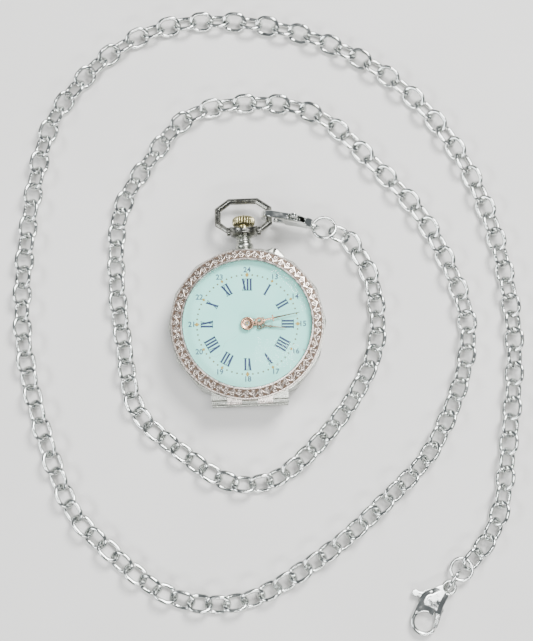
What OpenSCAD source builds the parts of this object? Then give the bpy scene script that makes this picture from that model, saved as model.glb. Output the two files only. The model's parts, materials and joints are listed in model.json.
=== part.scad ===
// Open-faced keyless pocket watch lying on its back, with its clasp chain laid out round it.
// +Z is up through the dial, +Y points to twelve o'clock and +X to three o'clock.
// The origin is on the axis of the hands, in the plane that the back cover rests on.

/* [Case] */
// Width of the fourteen-sided case across two opposite corners
case_w = 38; // [38:0.5:40]
// Height of the case band between the back cover and the bezel
band_h = 6; // [6:0.1:6.6]
// Height of the back cover
back_h = 3.05; // [3.05:0.05:3.5]
// Width of the engraved bezel ring
bezel_w = 2.9; // [2.8:0.1:3]
// Rise of the domed crystal above its edge
crystal_rise = 1.3; // [1.1:0.1:1.6]

/* [Dial and hands] */
// Hour that the hands show
show_hours = 3; // [0:1:11]
// Minutes past that hour
show_minutes = 13; // [0:1:59]
// Clockwise turn of the dial in the case, in degrees
dial_turn = 1.8; // [-3:0.1:3]
// Reach of the minute hand from its axis
minute_reach = 12.8; // [11:0.1:13.5]
// Reach of the hour hand from its axis
hour_reach = 9.4; // [8:0.1:10]

/* [Pendant, crown and bow] */
// Radius of the crown
crown_r = 2.8; // [2.6:0.1:2.8]
// Number of ribs round the crown
crown_ribs = 26; // [20:1:28]
// Reach of the bow from its pivot to its far side
bow_reach = 9.4; // [9.2:0.1:10]
// Half width of the bow
bow_half = 7; // [6.8:0.1:7.2]
// Thickness of the bow's bar
bow_bar = 1.17; // [1:0.01:1.3]
// Angle that the bow hangs down from level, in degrees
bow_droop = 18; // [16:1:20]

/* [Chain] */
// Length of one link over its outside
link_l = 6.5; // [6.4:0.05:6.6]
// Width of one link over its outside
link_w = 5.3; // [5.2:0.05:5.5]
// Thickness of the link's wire
link_wire = 1.05; // [0.9:0.05:1.05]
// Distance between the middles of two links
link_pitch = 4.25; // [4.24:0.01:4.28]
// Roll of each link to either side of flat, in degrees
link_roll = 36; // [34:1:40]

/* [Hidden] */
$fn = 72;
over = 1;               // how far a cutting shape runs past what it cuts
sides = 14;             // flat sides of the case

// Heights of the case parts
seam = 0.05;            // gap at each joint line of the case
band_z0 = back_h + seam;
band_z1 = band_z0 + band_h;
bezel_z0 = band_z1 + seam;
bezel_h = 1.75;
crystal_z0 = bezel_z0 + 0.65;
crystal_edge = 0.45;
crystal_t = 0.6;
case_r = case_w / 2;
flat_r = case_r * cos(180 / sides);
bezel_r = flat_r - 0.22;
bezel_in = bezel_r - bezel_w;
crystal_r = bezel_in + 0.45;
rest_r = 12.5;          // radius of the flat that the back rests on

// Heights of the movement, set down from the top of the band
dial_t = 0.4;
dial_z0 = band_z1 - 0.5;
dial_r = bezel_in + 0.8;
plate_z1 = band_z1 - 1.1;
plate_z0 = plate_z1 - 1.1;
plate_r = 15.8;
motion_z = plate_z1 + 0.05;
bridge_z0 = plate_z0 - 2.55;
bridge_t = 0.75;
bridge_z1 = bridge_z0 + bridge_t;
wind_z = bridge_z0 - 0.35;      // crown wheel and ratchet wheel
wheel_t = 0.3;
stem_z = plate_z0 - 0.8;

// Hinges at six o'clock
hinge_y = -flat_r - 0.1;
hinge_r = 0.6;
hinge_gap = 0.08;
hinge_pin_r = 0.28;
hinge_half = 9.15;
bezel_hinge_z = band_z1 - 0.15;
back_hinge_z = back_h;
cover_hinge_y = -17.3;
cover_hinge_z = band_z0 + 0.3;
cover_hinge_r = 0.4;
cover_half = 5;
cover_r = 16.6;

// Pendant, along +Y at the height of the stem
stem_r = 0.5;
bow_y = 23.7;
ear_x = 3.35;
ear_t = 0.85;
ear_head_r = 0.62;      // head of the bow's screw
ear_sink = 0.35;        // how deep it lies in the ear
crown_y = 25;
crown_h = 2.4;

// Places of the train's axes, and its teeth and modules
centre_p = [0, 0];
barrel_teeth = 72;
centre_leaves = 8;
barrel_m = 0.19;
barrel_p = polar((barrel_teeth + centre_leaves) * barrel_m / 2, 50);
centre_teeth = 64;
third_leaves = 8;
centre_m = 0.14;
third_at = 200;
third_p = polar((centre_teeth + third_leaves) * centre_m / 2, third_at);
third_teeth = 60;
fourth_leaves = 8;
third_m = 0.13;
fourth_at = 300;
fourth_p = third_p + polar((third_teeth + fourth_leaves) * third_m / 2, fourth_at);
fourth_teeth = 60;
escape_leaves = 6;
fourth_m = 0.115;
escape_at = 350;
escape_p = fourth_p + polar((fourth_teeth + escape_leaves) * fourth_m / 2, escape_at);
escape_teeth = 15;
escape_r = 2.2;
balance_p = escape_p + polar(escape_r + 0.42, 335);
balance_r = 4.6;
ratchet_teeth = 36;
crown_wheel_teeth = 20;
wind_m = 0.26;
wind_reach = (ratchet_teeth + crown_wheel_teeth) * wind_m / 2 + 0.04;
crown_wheel_p = [0, barrel_p.y + sqrt(pow(wind_reach, 2) - pow(barrel_p.x, 2))];
click_p = barrel_p + [6, 2.2];
click_tip = barrel_p + polar(5.75, 42);

// Motion work under the dial
motion_m = 0.12;
cannon_leaves = 10;
minute_teeth = 30;
minute_leaves = 8;
hour_teeth = 32;
setting_teeth = 25;
minute_at = 75;
minute_turn = mesh_turn(minute_at, cannon_leaves, minute_teeth);
minute_p = polar((cannon_leaves + minute_teeth) * motion_m / 2, minute_at);
setting_at = 80;
setting_p = minute_p + polar((minute_teeth + setting_teeth) * motion_m / 2, setting_at);
arbor_r = 0.28;
cannon_r = 0.58;
pipe_r = 0.95;
hour_hand_z = band_z1 + 0.35;
minute_hand_z = hour_hand_z + 0.4;
hand_t = 0.15;
hour_angle = 90 - dial_turn - 30 * (show_hours + show_minutes / 60);
minute_angle = 90 - dial_turn - 6 * show_minutes;

// Set pin in its guard, near one o'clock
pin_at = 67;
pin_r = 0.45;
pin_z = plate_z0 + 0.3;
lever_p = [8.03, 9.58];
tab_at = 14.2;          // distance of the lever's tab from the middle
tab_r = 0.45;
pin_end = tab_at + tab_r + 0.02;
lever_tab = polar(tab_at, pin_at);
lever_end = [4, 7.2];

// Feet of the bridges, and the screws in them
centre_foot = [-8.2, 7.6];
third_foot = [-13.2, -3.2];
fourth_foot = [-7.2, -12];
escape_foot = [-1.2, -11.4];
balance_foot = [9.6, -10.4];
barrel_feet = [[12.9, 1.2], [-3.6, 12.6]];
foot_r = 1.3;
screw_head_r = 0.75;
screw_r = 0.4;
escape_z0 = bridge_z1 + 0.35;
escape_t = 0.3;
cock_z0 = bridge_z0 - 0.35;
cock_t = 0.6;
pivot_r = 0.12;
jewel_r = 0.55;
jewel_t = 0.3;
balance_z0 = bridge_z1 - 0.15;
train_jewels = [third_p, fourth_p];
case_screw_spots = [polar(15.1, 160), polar(15.1, 345)];

// Clasps
clasp_t = 2.2;
clasp_hole_r = 2.3;
clasp_lever_p = [5.6, 1.6];
clasp_eye_p = [9.9, -1.5];
clasp_eye_r = 1.45;     // middle of the eye's wire
clasp_eye_wire = 0.8;
clasp_eye_lift = 0.3;   // height of the eye above the clasp's middle plane
bow_clasp_p = [7.5, 27.3, 4.8];
bow_clasp_turn = -12.5;
end_clasp_p = [39, -71.6, clasp_t / 2];
end_clasp_turn = 58.8;
end_ring_p = [48.5, -59.8, 1.9];
end_ring_tilt = -4;
end_link_p = [46.6, -62.2, 2];
end_link_turn = 54;
end_link_roll = 75;
bow_ring_p = [19.9, 24.5, 3.3];

// The chain's middle line, from the ring at the bow to the ring at the free clasp
CHAIN = [[26.6, 20.6], [31, 11], [31.5, -4], [25, -18], [14, -30.5], [4.5, -37], [-6, -37],
    [-17, -29.5], [-27.5, -19], [-30.5, -3], [-32, 15], [-30.5, 31], [-23, 44], [-12, 55.5],
    [5, 58], [20, 54], [34, 40], [46.5, 23], [54, -3], [45, -28.5], [31, -43.5], [15, -56],
    [-3, -65], [-20, -63.5], [-35, -52], [-46, -37], [-55.3, 2], [-50.5, 46], [-40.5, 65],
    [-25, 77], [-6, 80.5], [17, 76], [38, 64], [53, 46], [62, 23], [65.2, -5], [61, -36],
    [58.5, -47], [55, -53.5], [51, -58]];
curve_steps = 10;
curve = [for (i = [0:len(CHAIN) - 2], k = [0:curve_steps - 1]) curve_point(CHAIN, i, k / curve_steps)];
curve_s = [for (i = 0, s = 0; i < len(curve); i = i + 1,
    s = s + (i < len(curve) ? norm(curve[i] - curve[i - 1]) : 0)) s];
curve_x = [for (i = [0:len(curve) - 1]) [curve_s[i], curve[i].x]];
curve_y = [for (i = [0:len(curve) - 1]) [curve_s[i], curve[i].y]];
link_count = floor(curve_s[len(curve) - 1] / link_pitch) + 1;
link_z = (link_w - link_wire) / 2 * sin(link_roll) + link_wire / 2 + 0.02;
link_parts = 4;

// A point at a distance and a direction from the middle
function polar(r, a) = r * [cos(a), sin(a)];

// Corners of a regular polygon
function ngon(r, n) = [for (i = [0:n - 1]) polar(r, 360 * i / n)];

// Catmull-Rom curve through the points of a list, at u along the stretch that starts at point i
function curve_point(p, i, u) =
    let (a = p[max(i - 1, 0)], b = p[i], c = p[i + 1], d = p[min(i + 2, len(p) - 1)])
    (2 * b + (c - a) * u + (2 * a - 5 * b + 4 * c - d) * u * u
        + (3 * b - a - 3 * c + d) * u * u * u) / 2;

// Point and heading of the chain at a distance along it
function chain_at(s) = [lookup(s, curve_x), lookup(s, curve_y)];
function chain_heading(s) = let (d = chain_at(s + 1) - chain_at(s - 1)) atan2(d.y, d.x);

// Turn of a pinion that brings a gap between its leaves to a wheel's tooth on the line of centres
function mesh_turn(at, teeth, leaves, turn = 0) = at + 180 - (180 - (at - turn) * teeth) / leaves;

// Outline of a toothed wheel
function tooth_points(teeth, m) = [for (i = [0:teeth - 1], k = [[-0.3, -1.15], [-0.14, 0.95],
    [0.14, 0.95], [0.3, -1.15]]) polar(teeth * m / 2 + k[1] * m, 360 * (i + k[0]) / teeth)];

// Points on a flat spiral strip, out along one side and back along the other
function spiral(r0, r1, turns, t, n) = concat(
    [for (i = [0:n]) polar(r0 + (r1 - r0) * i / n, 360 * turns * i / n)],
    [for (i = [n:-1:0]) polar(r0 + (r1 - r0) * i / n + t, 360 * turns * i / n)]);

module at_height(z0, z1) {
    translate([0, 0, z0]) linear_extrude(z1 - z0) children();
}

// Flat outline that runs from one circle to another
module taper(p, r, q, s) {
    d = norm(q - p);
    a = atan2(q.y - p.y, q.x - p.x);
    b = acos((r - s) / d);
    translate(p) circle(r);
    translate(q) circle(s);
    polygon([p + polar(r, a + b), q + polar(s, a + b), q + polar(s, a - b), p + polar(r, a - b)]);
}

// The same outline as one polygon, for thin blades and arms
module spindle(p, r, q, s, n = 8) {
    a = atan2(q.y - p.y, q.x - p.x);
    b = acos((r - s) / norm(q - p));
    polygon(concat([for (i = [0:n]) p + polar(r, a + b + (360 - 2 * b) * i / n)],
        [for (i = [0:n]) q + polar(s, a - b + 2 * b * i / n)]));
}

module rod(p, r, z0, z1) {
    translate([p.x, p.y, z0]) cylinder(r = r, h = z1 - z0);
}

// Barrel of a hinge along X
module knuckle(x0, x1, y, z, r) {
    translate([x0, y, z]) rotate([0, 90, 0]) cylinder(r = r, h = x1 - x0);
}

module knuckles(spans, y, z, r) {
    for (s = spans) knuckle(s[0], s[1], y, z, r);
}

// Spans of the case's knuckles and of the cover's, along a hinge of a given half length
function case_spans(h) = [[-h, -0.6 * h], [-0.2 * h, 0.2 * h], [0.6 * h, h]];
function cover_spans(h, gap) = [[-0.6 * h + gap, -0.2 * h - gap], [0.2 * h + gap, 0.6 * h - gap]];

// Solid of revolution about the stem
module about_stem(profile) {
    translate([0, 0, stem_z]) rotate([-90, 0, 0]) rotate_extrude() polygon(profile);
}

// Spoked toothed wheel with its height
module wheel(teeth, m, z0, t, spokes) {
    r = teeth * m / 2;
    at_height(z0, z0 + t) {
        difference() {
            polygon(tooth_points(teeth, m));
            circle(r - 4.2 * m);
        }
        circle(0.2 * r);
        for (i = [0:spokes - 1]) rotate(360 * i / spokes + 15) translate([0, -0.055 * r])
            square([r - 3.6 * m, 0.11 * r]);
    }
}

module pinion(leaves, m, turn, z0, z1) {
    at_height(z0, z1) rotate(turn) polygon(tooth_points(leaves, m));
}

// Arbor with a thin pivot at each end
module arbor(r, z0, z1) {
    cylinder_z(r, z0 + 0.02, z1 - 0.02);
    cylinder_z(pivot_r, z0 - 0.3, z1 + 0.25);
}

module cylinder_z(r, z0, z1) {
    translate([0, 0, z0]) cylinder(r = r, h = z1 - z0);
}

module case_band() color("silver") difference() {
    union() {
        intersection() {
            at_height(band_z0, band_z1) polygon(ngon(case_r, sides));
            rotate_extrude() polygon([[0, band_z0], [case_r - 0.35, band_z0], [case_r, band_z0 + 0.6],
                [case_r, band_z1 - 0.6], [case_r - 0.35, band_z1], [0, band_z1]]);
        }
        translate([-hinge_half, hinge_y, band_z0]) cube([2 * hinge_half, 4, band_h]);
        knuckles(case_spans(hinge_half), hinge_y, bezel_hinge_z, hinge_r);
        knuckles(case_spans(hinge_half), hinge_y, back_hinge_z, hinge_r);
        knuckles([[-cover_half, -0.52 * cover_half], [0.52 * cover_half, cover_half]],
            cover_hinge_y, cover_hinge_z, cover_hinge_r);
    }
    translate([-cover_half - over, cover_hinge_y - cover_hinge_r, 0])
        cube([2 * (cover_half + over), 2 * cover_hinge_r, band_z0]);
    at_height(band_z0 - over, band_z0 + 0.65) intersection() {
        circle(cover_r + 0.15);
        translate([-25, cover_hinge_y + cover_hinge_r]) square(50);
    }
    cylinder_z(plate_r + 0.1, band_z0, band_z1 + over);
    cylinder_z(dial_r + 0.15, plate_z1 - 0.3, band_z1 + over);
    knuckles(cover_spans(hinge_half, 0), hinge_y, bezel_hinge_z, hinge_r + hinge_gap);
    knuckles(cover_spans(hinge_half, 0), hinge_y, back_hinge_z, hinge_r + hinge_gap);
    knuckle(-0.5 * cover_half, 0.5 * cover_half, cover_hinge_y, cover_hinge_z,
        cover_hinge_r + hinge_gap);
    translate([-0.5 * cover_half, cover_hinge_y, band_z0 - over])
        cube([cover_half, 1.5, over + 0.65]);
    knuckle(-20, 20, hinge_y, bezel_hinge_z, hinge_pin_r);
    knuckle(-20, 20, hinge_y, back_hinge_z, hinge_pin_r);
    knuckle(-6, 6, cover_hinge_y, cover_hinge_z, 0.18);
    translate([0, 10, stem_z]) rotate([-90, 0, 0]) cylinder(r = stem_r + 0.1, h = 12);
    rotate(pin_at) translate([14, 0, pin_z]) rotate([0, 90, 0]) cylinder(r = pin_r + 0.05, h = 8);
}

// Neck that carries the crown and the bow
module pendant() color("silver") difference() {
    y0 = flat_r;
    about_stem([[0, y0], [2.3, y0], [2.3, y0 + 0.3], [2.1, y0 + 0.5], [2.1, 20.3], [1.45, 20.6],
        [1.45, 20.9], [1.65, 21.05], [1.65, 21.35], [1.45, 21.5], [1.45, 21.7], [1.95, 21.85],
        [1.95, 22.2], [2.9, 22.45], [3.35, 22.9], [3.55, 23.3], [3.55, 24.5], [3.3, 24.85],
        [0, 24.85]]);
    about_stem([[0, 10], [stem_r + 0.1, 10], [stem_r + 0.1, 23.5], [2.2, 23.7], [2.35, 25], [0, 25]]);
    for (s = [-1, 1]) {
        translate([s * (ear_x + 4.96), bow_y, stem_z]) cube(10, center = true);
        translate([s * ear_x, bow_y, stem_z]) rotate([0, 90, 0])
            cylinder(r = 0.45, h = 2.2, center = true);
    }
}

// Bevelled guard over the set pin
module pusher_guard() color("silver") difference() {
    at_height(band_z0 + 1.3, band_z1 - 0.5) difference() {
        polygon([[4.4, flat_r - 0.3], polar(flat_r + 0.2, 74), polar(flat_r + 1.35, 70.5),
            polar(flat_r + 1.4, 66), polar(flat_r + 0.9, 60.5), polar(flat_r + 0.1, 59),
            polar(flat_r - 1, 60), polar(flat_r - 1, 74)]);
        polygon(ngon(case_r, sides));
    }
    rotate(pin_at) translate([14, 0, pin_z]) rotate([0, 90, 0]) cylinder(r = pin_r + 0.05, h = 8);
}

module hinge_pins() color("gray") {
    knuckle(-hinge_half, hinge_half, hinge_y, bezel_hinge_z, hinge_pin_r);
    knuckle(-hinge_half, hinge_half, hinge_y, back_hinge_z, hinge_pin_r);
    knuckle(-cover_half, cover_half, cover_hinge_y, cover_hinge_z, 0.18);
}

// Knuckles of a cover, with the web that joins them to it
module cover_knuckles(z, z0, z1, reach) {
    difference() {
        union() {
            knuckles(cover_spans(hinge_half, hinge_gap), hinge_y, z, hinge_r);
            for (s = cover_spans(hinge_half, hinge_gap))
                translate([s[0], hinge_y, z0]) cube([s[1] - s[0], reach, z1 - z0]);
        }
        knuckle(-20, 20, hinge_y, z, hinge_pin_r + 0.04);
    }
}

module bezel() color("rosybrown") {
    difference() {
        translate([0, 0, bezel_z0]) rotate_extrude() polygon([[bezel_in + 0.1, 0], [bezel_r - 0.2, 0],
            [bezel_r, 0.2], [bezel_r, 0.9], [bezel_r - 0.15, 1.15], [bezel_r - 0.35, 1.15],
            [bezel_r - 0.45, 1.05], [bezel_in + 0.65, 1.5], [bezel_in + 0.5, bezel_h],
            [bezel_in + 0.15, bezel_h], [bezel_in, bezel_h - 0.15], [bezel_in, 1.15],
            [crystal_r + 0.05, 1.15], [crystal_r + 0.05, 0.6], [bezel_in + 0.1, 0.6]]);
        knuckles(case_spans(hinge_half + 0.01), hinge_y, bezel_hinge_z, hinge_r + hinge_gap);
        knuckle(-20, 20, hinge_y, bezel_hinge_z, hinge_pin_r + 0.04);
    }
    cover_knuckles(bezel_hinge_z, bezel_z0 + 0.02, bezel_z0 + 0.4, 2.2);
}

module crystal() color("lightcyan", 0.35) {
    dome_r = (pow(bezel_in - 0.1, 2) + pow(crystal_rise, 2)) / (2 * crystal_rise);
    edge_z = crystal_z0 + crystal_edge;
    span = asin((bezel_in - 0.1) / dome_r);
    top = [for (i = [0:8]) [dome_r * sin(span * i / 8),
        edge_z + crystal_rise - dome_r * (1 - cos(span * i / 8))]];
    rotate_extrude() polygon(concat(top, [[bezel_in - 0.1, edge_z], [crystal_r, edge_z],
        [crystal_r, crystal_z0], [bezel_in - 0.3, crystal_z0]],
        [for (i = [8:-1:0]) top[i] - [i == 8 ? 0.4 : 0, crystal_t]]));
}

module back_cover() color("silver") difference() {
    union() {
        intersection() {
            at_height(0, back_h) polygon(ngon(case_r, sides));
            rotate_extrude() polygon(concat([[0, 0], [rest_r, 0]],
                [for (i = [1:7]) [rest_r + (case_r - rest_r + 0.2) * sin(12.8 * i),
                    1.6 * (1 - cos(12.8 * i))]],
                [[case_r + 0.2, back_h], [0, back_h]]));
        }
        cover_knuckles(back_hinge_z, back_hinge_z - 0.55, back_hinge_z - 0.02, 1.5);
    }
    rotate_extrude() polygon([[0, 0.45], [rest_r, 0.5], [17, 1.35], [17.7, 2], [17.85, back_h + over],
        [0, back_h + over]]);
    knuckles(case_spans(hinge_half + 0.01), hinge_y, back_hinge_z, hinge_r + hinge_gap);
    knuckle(-20, 20, hinge_y, back_hinge_z, hinge_pin_r + 0.04);
}

// Dust cover over the movement
module inner_cover() color("gold") difference() {
    union() {
        at_height(band_z0 + 0.1, band_z0 + 0.5) intersection() {
            circle(cover_r);
            translate([-25, cover_hinge_y + cover_hinge_r + 0.2]) square(50);
        }
        knuckle(-0.48 * cover_half, 0.48 * cover_half, cover_hinge_y, cover_hinge_z, cover_hinge_r);
        translate([-0.48 * cover_half, cover_hinge_y, band_z0 + 0.1]) cube([0.96 * cover_half, 1, 0.4]);
    }
    knuckle(-20, 20, cover_hinge_y, cover_hinge_z, 0.22);
}

module dial() color("honeydew") {
    difference() {
        cylinder_z(dial_r, dial_z0, dial_z0 + dial_t);
        cylinder_z(pipe_r + 0.15, 0, 20);
    }
    for (a = [30, 150, 270]) rod(polar(13.6, a), 0.35, plate_z1 - 0.6, dial_z0);
}

module mainplate() color("goldenrod") difference() {
    union() {
        cylinder_z(plate_r, plate_z0, plate_z1);
        cylinder_z(dial_r, plate_z1 - 0.25, dial_z0 - 0.03);
        rod(minute_p, 0.25, plate_z0, plate_z1 + 0.52);
        rod(setting_p, 0.25, plate_z0, plate_z1 + 0.45);
    }
    difference() {
        cylinder_z(dial_r - 1, plate_z1, dial_z0);
        rod(minute_p, 0.25, plate_z0, plate_z1 + 0.52);
        rod(setting_p, 0.25, plate_z0, plate_z1 + 0.45);
    }
    cylinder_z(0.4, 0, 20);
    for (p = [third_p, fourth_p, escape_p, balance_p])
        rod(p, jewel_r + 0.01, plate_z0 - over, plate_z0 + jewel_t + 0.1);
    rod(barrel_p, 0.75, plate_z0 - over, plate_z0 + 0.6);
    for (a = [30, 150, 270]) rod(polar(13.6, a), 0.38, plate_z1 - 0.7, plate_z1 + over);
    for (p = concat([centre_foot, third_foot, fourth_foot, escape_foot, balance_foot], barrel_feet))
        rod(p, screw_r + 0.01, plate_z0 - over, plate_z0 + 0.7);
    rod(lever_p, 0.31, plate_z0 + 0.4, plate_z1 + over);
    translate([-2, 12.9, plate_z0 - over]) cube([4, 4, 1.1 + over]);
    rotate(pin_at) translate([13, -0.75, plate_z0 - over]) cube([4, 1.5, over + 1.05]);
    rotate(pin_at) translate([13, -0.75, plate_z0]) cube([1.9, 1.5, 3]);
    for (p = case_screw_spots) rod(p, screw_r + 0.05, plate_z0 - over, plate_z0 + 0.7);
}

// A bar of the movement, with its foot on the mainplate
module bridge(p, r, foot, z0, t) {
    difference() {
        union() {
            at_height(z0, z0 + t) taper(p, r, foot, foot_r);
            rod(foot, foot_r, z0, plate_z0);
        }
        rod(foot, screw_r + 0.02, 0, 20);
        children();
    }
}

module barrel_bridge() color("gold") difference() {
    union() {
        at_height(bridge_z0, bridge_z1) intersection() {
            circle(15.4);
            union() {
                spindle(barrel_p, 6.2, barrel_feet[0], 1.8, 24);
                spindle(barrel_p, 5.4, barrel_feet[1], 2.2, 24);
                spindle(barrel_p, 5.2, click_p, 1.6, 24);
            }
        }
        for (p = barrel_feet) rod(p, foot_r, bridge_z0, plate_z0);
    }
    for (p = barrel_feet) rod(p, screw_r + 0.02, 0, 20);
    rod(barrel_p, 0.75, 0, 20);
    rod(crown_wheel_p, 0.5, 0, 20);
    rod(click_p, 0.33, 0, 20);
    translate([-2, 13.1, 0]) cube([4, 4, 20]);
}

module centre_bridge() color("gold")
    bridge(centre_p, 1.2, centre_foot, bridge_z0, bridge_t) cylinder_z(arbor_r + 0.05, 0, 20);

module third_bridge() color("gold")
    bridge(third_p, 1, third_foot, bridge_z0, bridge_t) rod(third_p, jewel_r + 0.01, 0, 20);

module fourth_bridge() color("gold")
    bridge(fourth_p, 1, fourth_foot, bridge_z0, bridge_t) rod(fourth_p, jewel_r + 0.01, 0, 20);

module escape_cock() color("gold")
    bridge(escape_p, 0.9, escape_foot, escape_z0, escape_t) rod(escape_p, jewel_r + 0.01, 0, 20);

module balance_cock() color("gold")
    bridge(balance_p, 1.9, balance_foot, cock_z0, cock_t) rod(balance_p, jewel_r + 0.01, 0, 20);

// Screws that hold the bridges, each with its slot
module bridge_screws() color("royalblue") {
    faces = concat([for (p = concat([centre_foot, third_foot, fourth_foot], barrel_feet))
        [p, bridge_z0]], [[escape_foot, escape_z0], [balance_foot, cock_z0]]);
    for (f = faces) difference() {
        union() {
            rod(f[0], screw_head_r, f[1] - 0.3, f[1]);
            rod(f[0], screw_r, f[1], plate_z0 + 0.6);
        }
        translate([f[0].x, f[0].y, f[1] - 0.3]) cube([2, 0.2, 0.24], center = true);
    }
}

// Ring jewels in the mainplate and the bridges
module jewels() color("crimson") {
    spots = concat([for (p = [third_p, fourth_p, escape_p, balance_p]) [p, plate_z0]],
        [for (p = train_jewels) [p, bridge_z1 - jewel_t]],
        [[escape_p, escape_z0], [balance_p, cock_z0 + cock_t - jewel_t]]);
    for (s = spots) translate([s[0].x, s[0].y, s[1]]) difference() {
        cylinder(r = jewel_r, h = jewel_t);
        translate([0, 0, -over]) cylinder(r = pivot_r + 0.03, h = 3);
    }
}

module case_screws() color("royalblue") for (p = case_screw_spots) difference() {
    union() {
        rod(p, 0.72, plate_z0 - 0.35, plate_z0);
        rod(p, screw_r, plate_z0, plate_z0 + 0.6);
    }
    translate([p.x, p.y, plate_z0 - 0.35]) cube([2, 0.2, 0.24], center = true);
}

// Index that trims the hairspring's length
module regulator() color("silver") translate([balance_p.x, balance_p.y, 0]) {
    at_height(cock_z0 - 0.2, cock_z0 - 0.04) difference() {
        union() {
            circle(1.2);
            spindle(polar(0.9, 100), 0.4, polar(4.2, 100), 0.22);
        }
        circle(0.62);
    }
}

module crown() color("gold") difference() {
    union() {
        about_stem([[0, crown_y], [crown_r - 0.45, crown_y], [crown_r, crown_y + 0.3],
            [crown_r, crown_y + 1.5], [crown_r - 0.4, crown_y + 1.95],
            [crown_r - 1.2, crown_y + crown_h - 0.1], [crown_r - 1.7, crown_y + crown_h],
            [0, crown_y + crown_h]]);
        about_stem([[0, crown_y - 1.2], [1.3, crown_y - 1.2], [1.3, crown_y], [0, crown_y]]);
    }
    for (i = [0:crown_ribs - 1]) translate([0, crown_y - over, stem_z])
        rotate([-90, 0, 0]) rotate(360 * i / crown_ribs) translate([crown_r + 0.03, 0, 0])
            rotate(45) translate([-0.13, -0.13, 0]) cube([0.26, 0.26, crown_h]);
    about_stem([[0, crown_y - 2], [stem_r, crown_y - 2], [stem_r, crown_y + 1.4],
        [0, crown_y + 1.4]]);
}

// Stem with the winding pinion on its inner end
module winding_stem() color("silver") {
    about_stem([[0, 13.1], [0.3, 13.1], [stem_r, 13.3], [stem_r, crown_y + 1.4],
        [0, crown_y + 1.4]]);
    translate([0, 13.3, stem_z]) rotate([-90, 0, 0]) linear_extrude(1.2)
        polygon(tooth_points(14, 0.23));
}

module crown_wheel() color("silver") translate([crown_wheel_p.x, crown_wheel_p.y, 0])
    at_height(wind_z, wind_z + wheel_t) difference() {
        rotate(mesh_turn(atan2(crown_wheel_p.y - barrel_p.y, crown_wheel_p.x - barrel_p.x),
            ratchet_teeth, crown_wheel_teeth)) polygon(tooth_points(crown_wheel_teeth, wind_m));
        circle(0.95);
    }

module crown_wheel_screw() color("royalblue") difference() {
    union() {
        rod(crown_wheel_p, 1.25, wind_z - 0.25, wind_z - 0.03);
        rod(crown_wheel_p, 0.9, wind_z - 0.1, bridge_z0);
        rod(crown_wheel_p, 0.48, bridge_z0, bridge_z1);
    }
    translate([crown_wheel_p.x, crown_wheel_p.y, wind_z - 0.25]) cube([3, 0.25, 0.24], center = true);
}

module ratchet_wheel() color("silver") translate([barrel_p.x, barrel_p.y, 0])
    at_height(wind_z, wind_z + wheel_t) difference() {
        polygon(tooth_points(ratchet_teeth, wind_m));
        square(0.9, center = true);
    }

// Arbor that the mainspring winds round, squared for the ratchet wheel
module barrel_arbor() color("silver") translate([barrel_p.x, barrel_p.y, 0]) {
    at_height(wind_z, wind_z + wheel_t) square(0.9, center = true);
    difference() {
        cylinder_z(1.2, wind_z - 0.25, wind_z);
        translate([0, 0, wind_z - 0.25]) cube([3, 0.25, 0.24], center = true);
    }
    cylinder_z(0.7, wind_z + wheel_t, plate_z0 + 0.4);
    cylinder_z(1.6, bridge_z1 + 0.32, plate_z0 - 0.72);
}

module click() color("silver") {
    at_height(wind_z, wind_z + wheel_t) difference() {
        spindle(click_p, 0.7, click_tip, 0.3);
        translate(click_p) circle(0.32);
    }
    rod(click_p, 0.3, wind_z - 0.15, bridge_z1);
    rod(click_p, 0.6, wind_z - 0.25, wind_z);
}

module click_spring() color("slategray") translate([barrel_p.x, barrel_p.y, wind_z])
    rotate_extrude(angle = 38, start = 46) translate([6.75, 0]) square([0.2, wheel_t]);

// Toothed drum that holds the mainspring
module barrel_drum() color("gold") translate([barrel_p.x, barrel_p.y, 0]) difference() {
    union() {
        cylinder_z(barrel_teeth * barrel_m / 2 - 0.34, bridge_z1 + 0.1, plate_z0 - 0.5);
        at_height(bridge_z1 + 0.15, bridge_z1 + 0.5) polygon(tooth_points(barrel_teeth, barrel_m));
    }
    cylinder_z(barrel_teeth * barrel_m / 2 - 0.7, bridge_z1 + 0.28, plate_z0 - 0.68);
    cylinder_z(0.76, 0, 20);
}

module mainspring() color("steelblue") translate([barrel_p.x, barrel_p.y, 0])
    at_height(bridge_z1 + 0.34, plate_z0 - 0.74) polygon(spiral(1.75, 5.8, 7, 0.2, 112));

module centre_wheel() color("goldenrod") {
    wheel(centre_teeth, centre_m, plate_z0 - 0.4, 0.2, 5);
    pinion(centre_leaves, barrel_m, mesh_turn(230, barrel_teeth, centre_leaves),
        bridge_z1 + 0.1, bridge_z1 + 0.6);
    cylinder_z(0.45, bridge_z1 + 0.05, plate_z0 - 0.05);
    cylinder_z(arbor_r, bridge_z0 + 0.05, minute_hand_z + hand_t + 0.1);
}

module third_wheel() color("goldenrod") translate([third_p.x, third_p.y, 0]) {
    wheel(third_teeth, third_m, bridge_z1 + 0.75, 0.2, 5);
    pinion(third_leaves, centre_m, mesh_turn(third_at, centre_teeth, third_leaves),
        plate_z0 - 0.5, plate_z0 - 0.1);
    arbor(0.25, bridge_z1, plate_z0);
}

module fourth_wheel() color("goldenrod") translate([fourth_p.x, fourth_p.y, 0]) {
    wheel(fourth_teeth, fourth_m, plate_z0 - 0.7, 0.15, 5);
    pinion(fourth_leaves, third_m, mesh_turn(fourth_at, third_teeth, fourth_leaves),
        bridge_z1 + 0.65, bridge_z1 + 1.05);
    arbor(0.25, bridge_z1, plate_z0);
}

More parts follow.
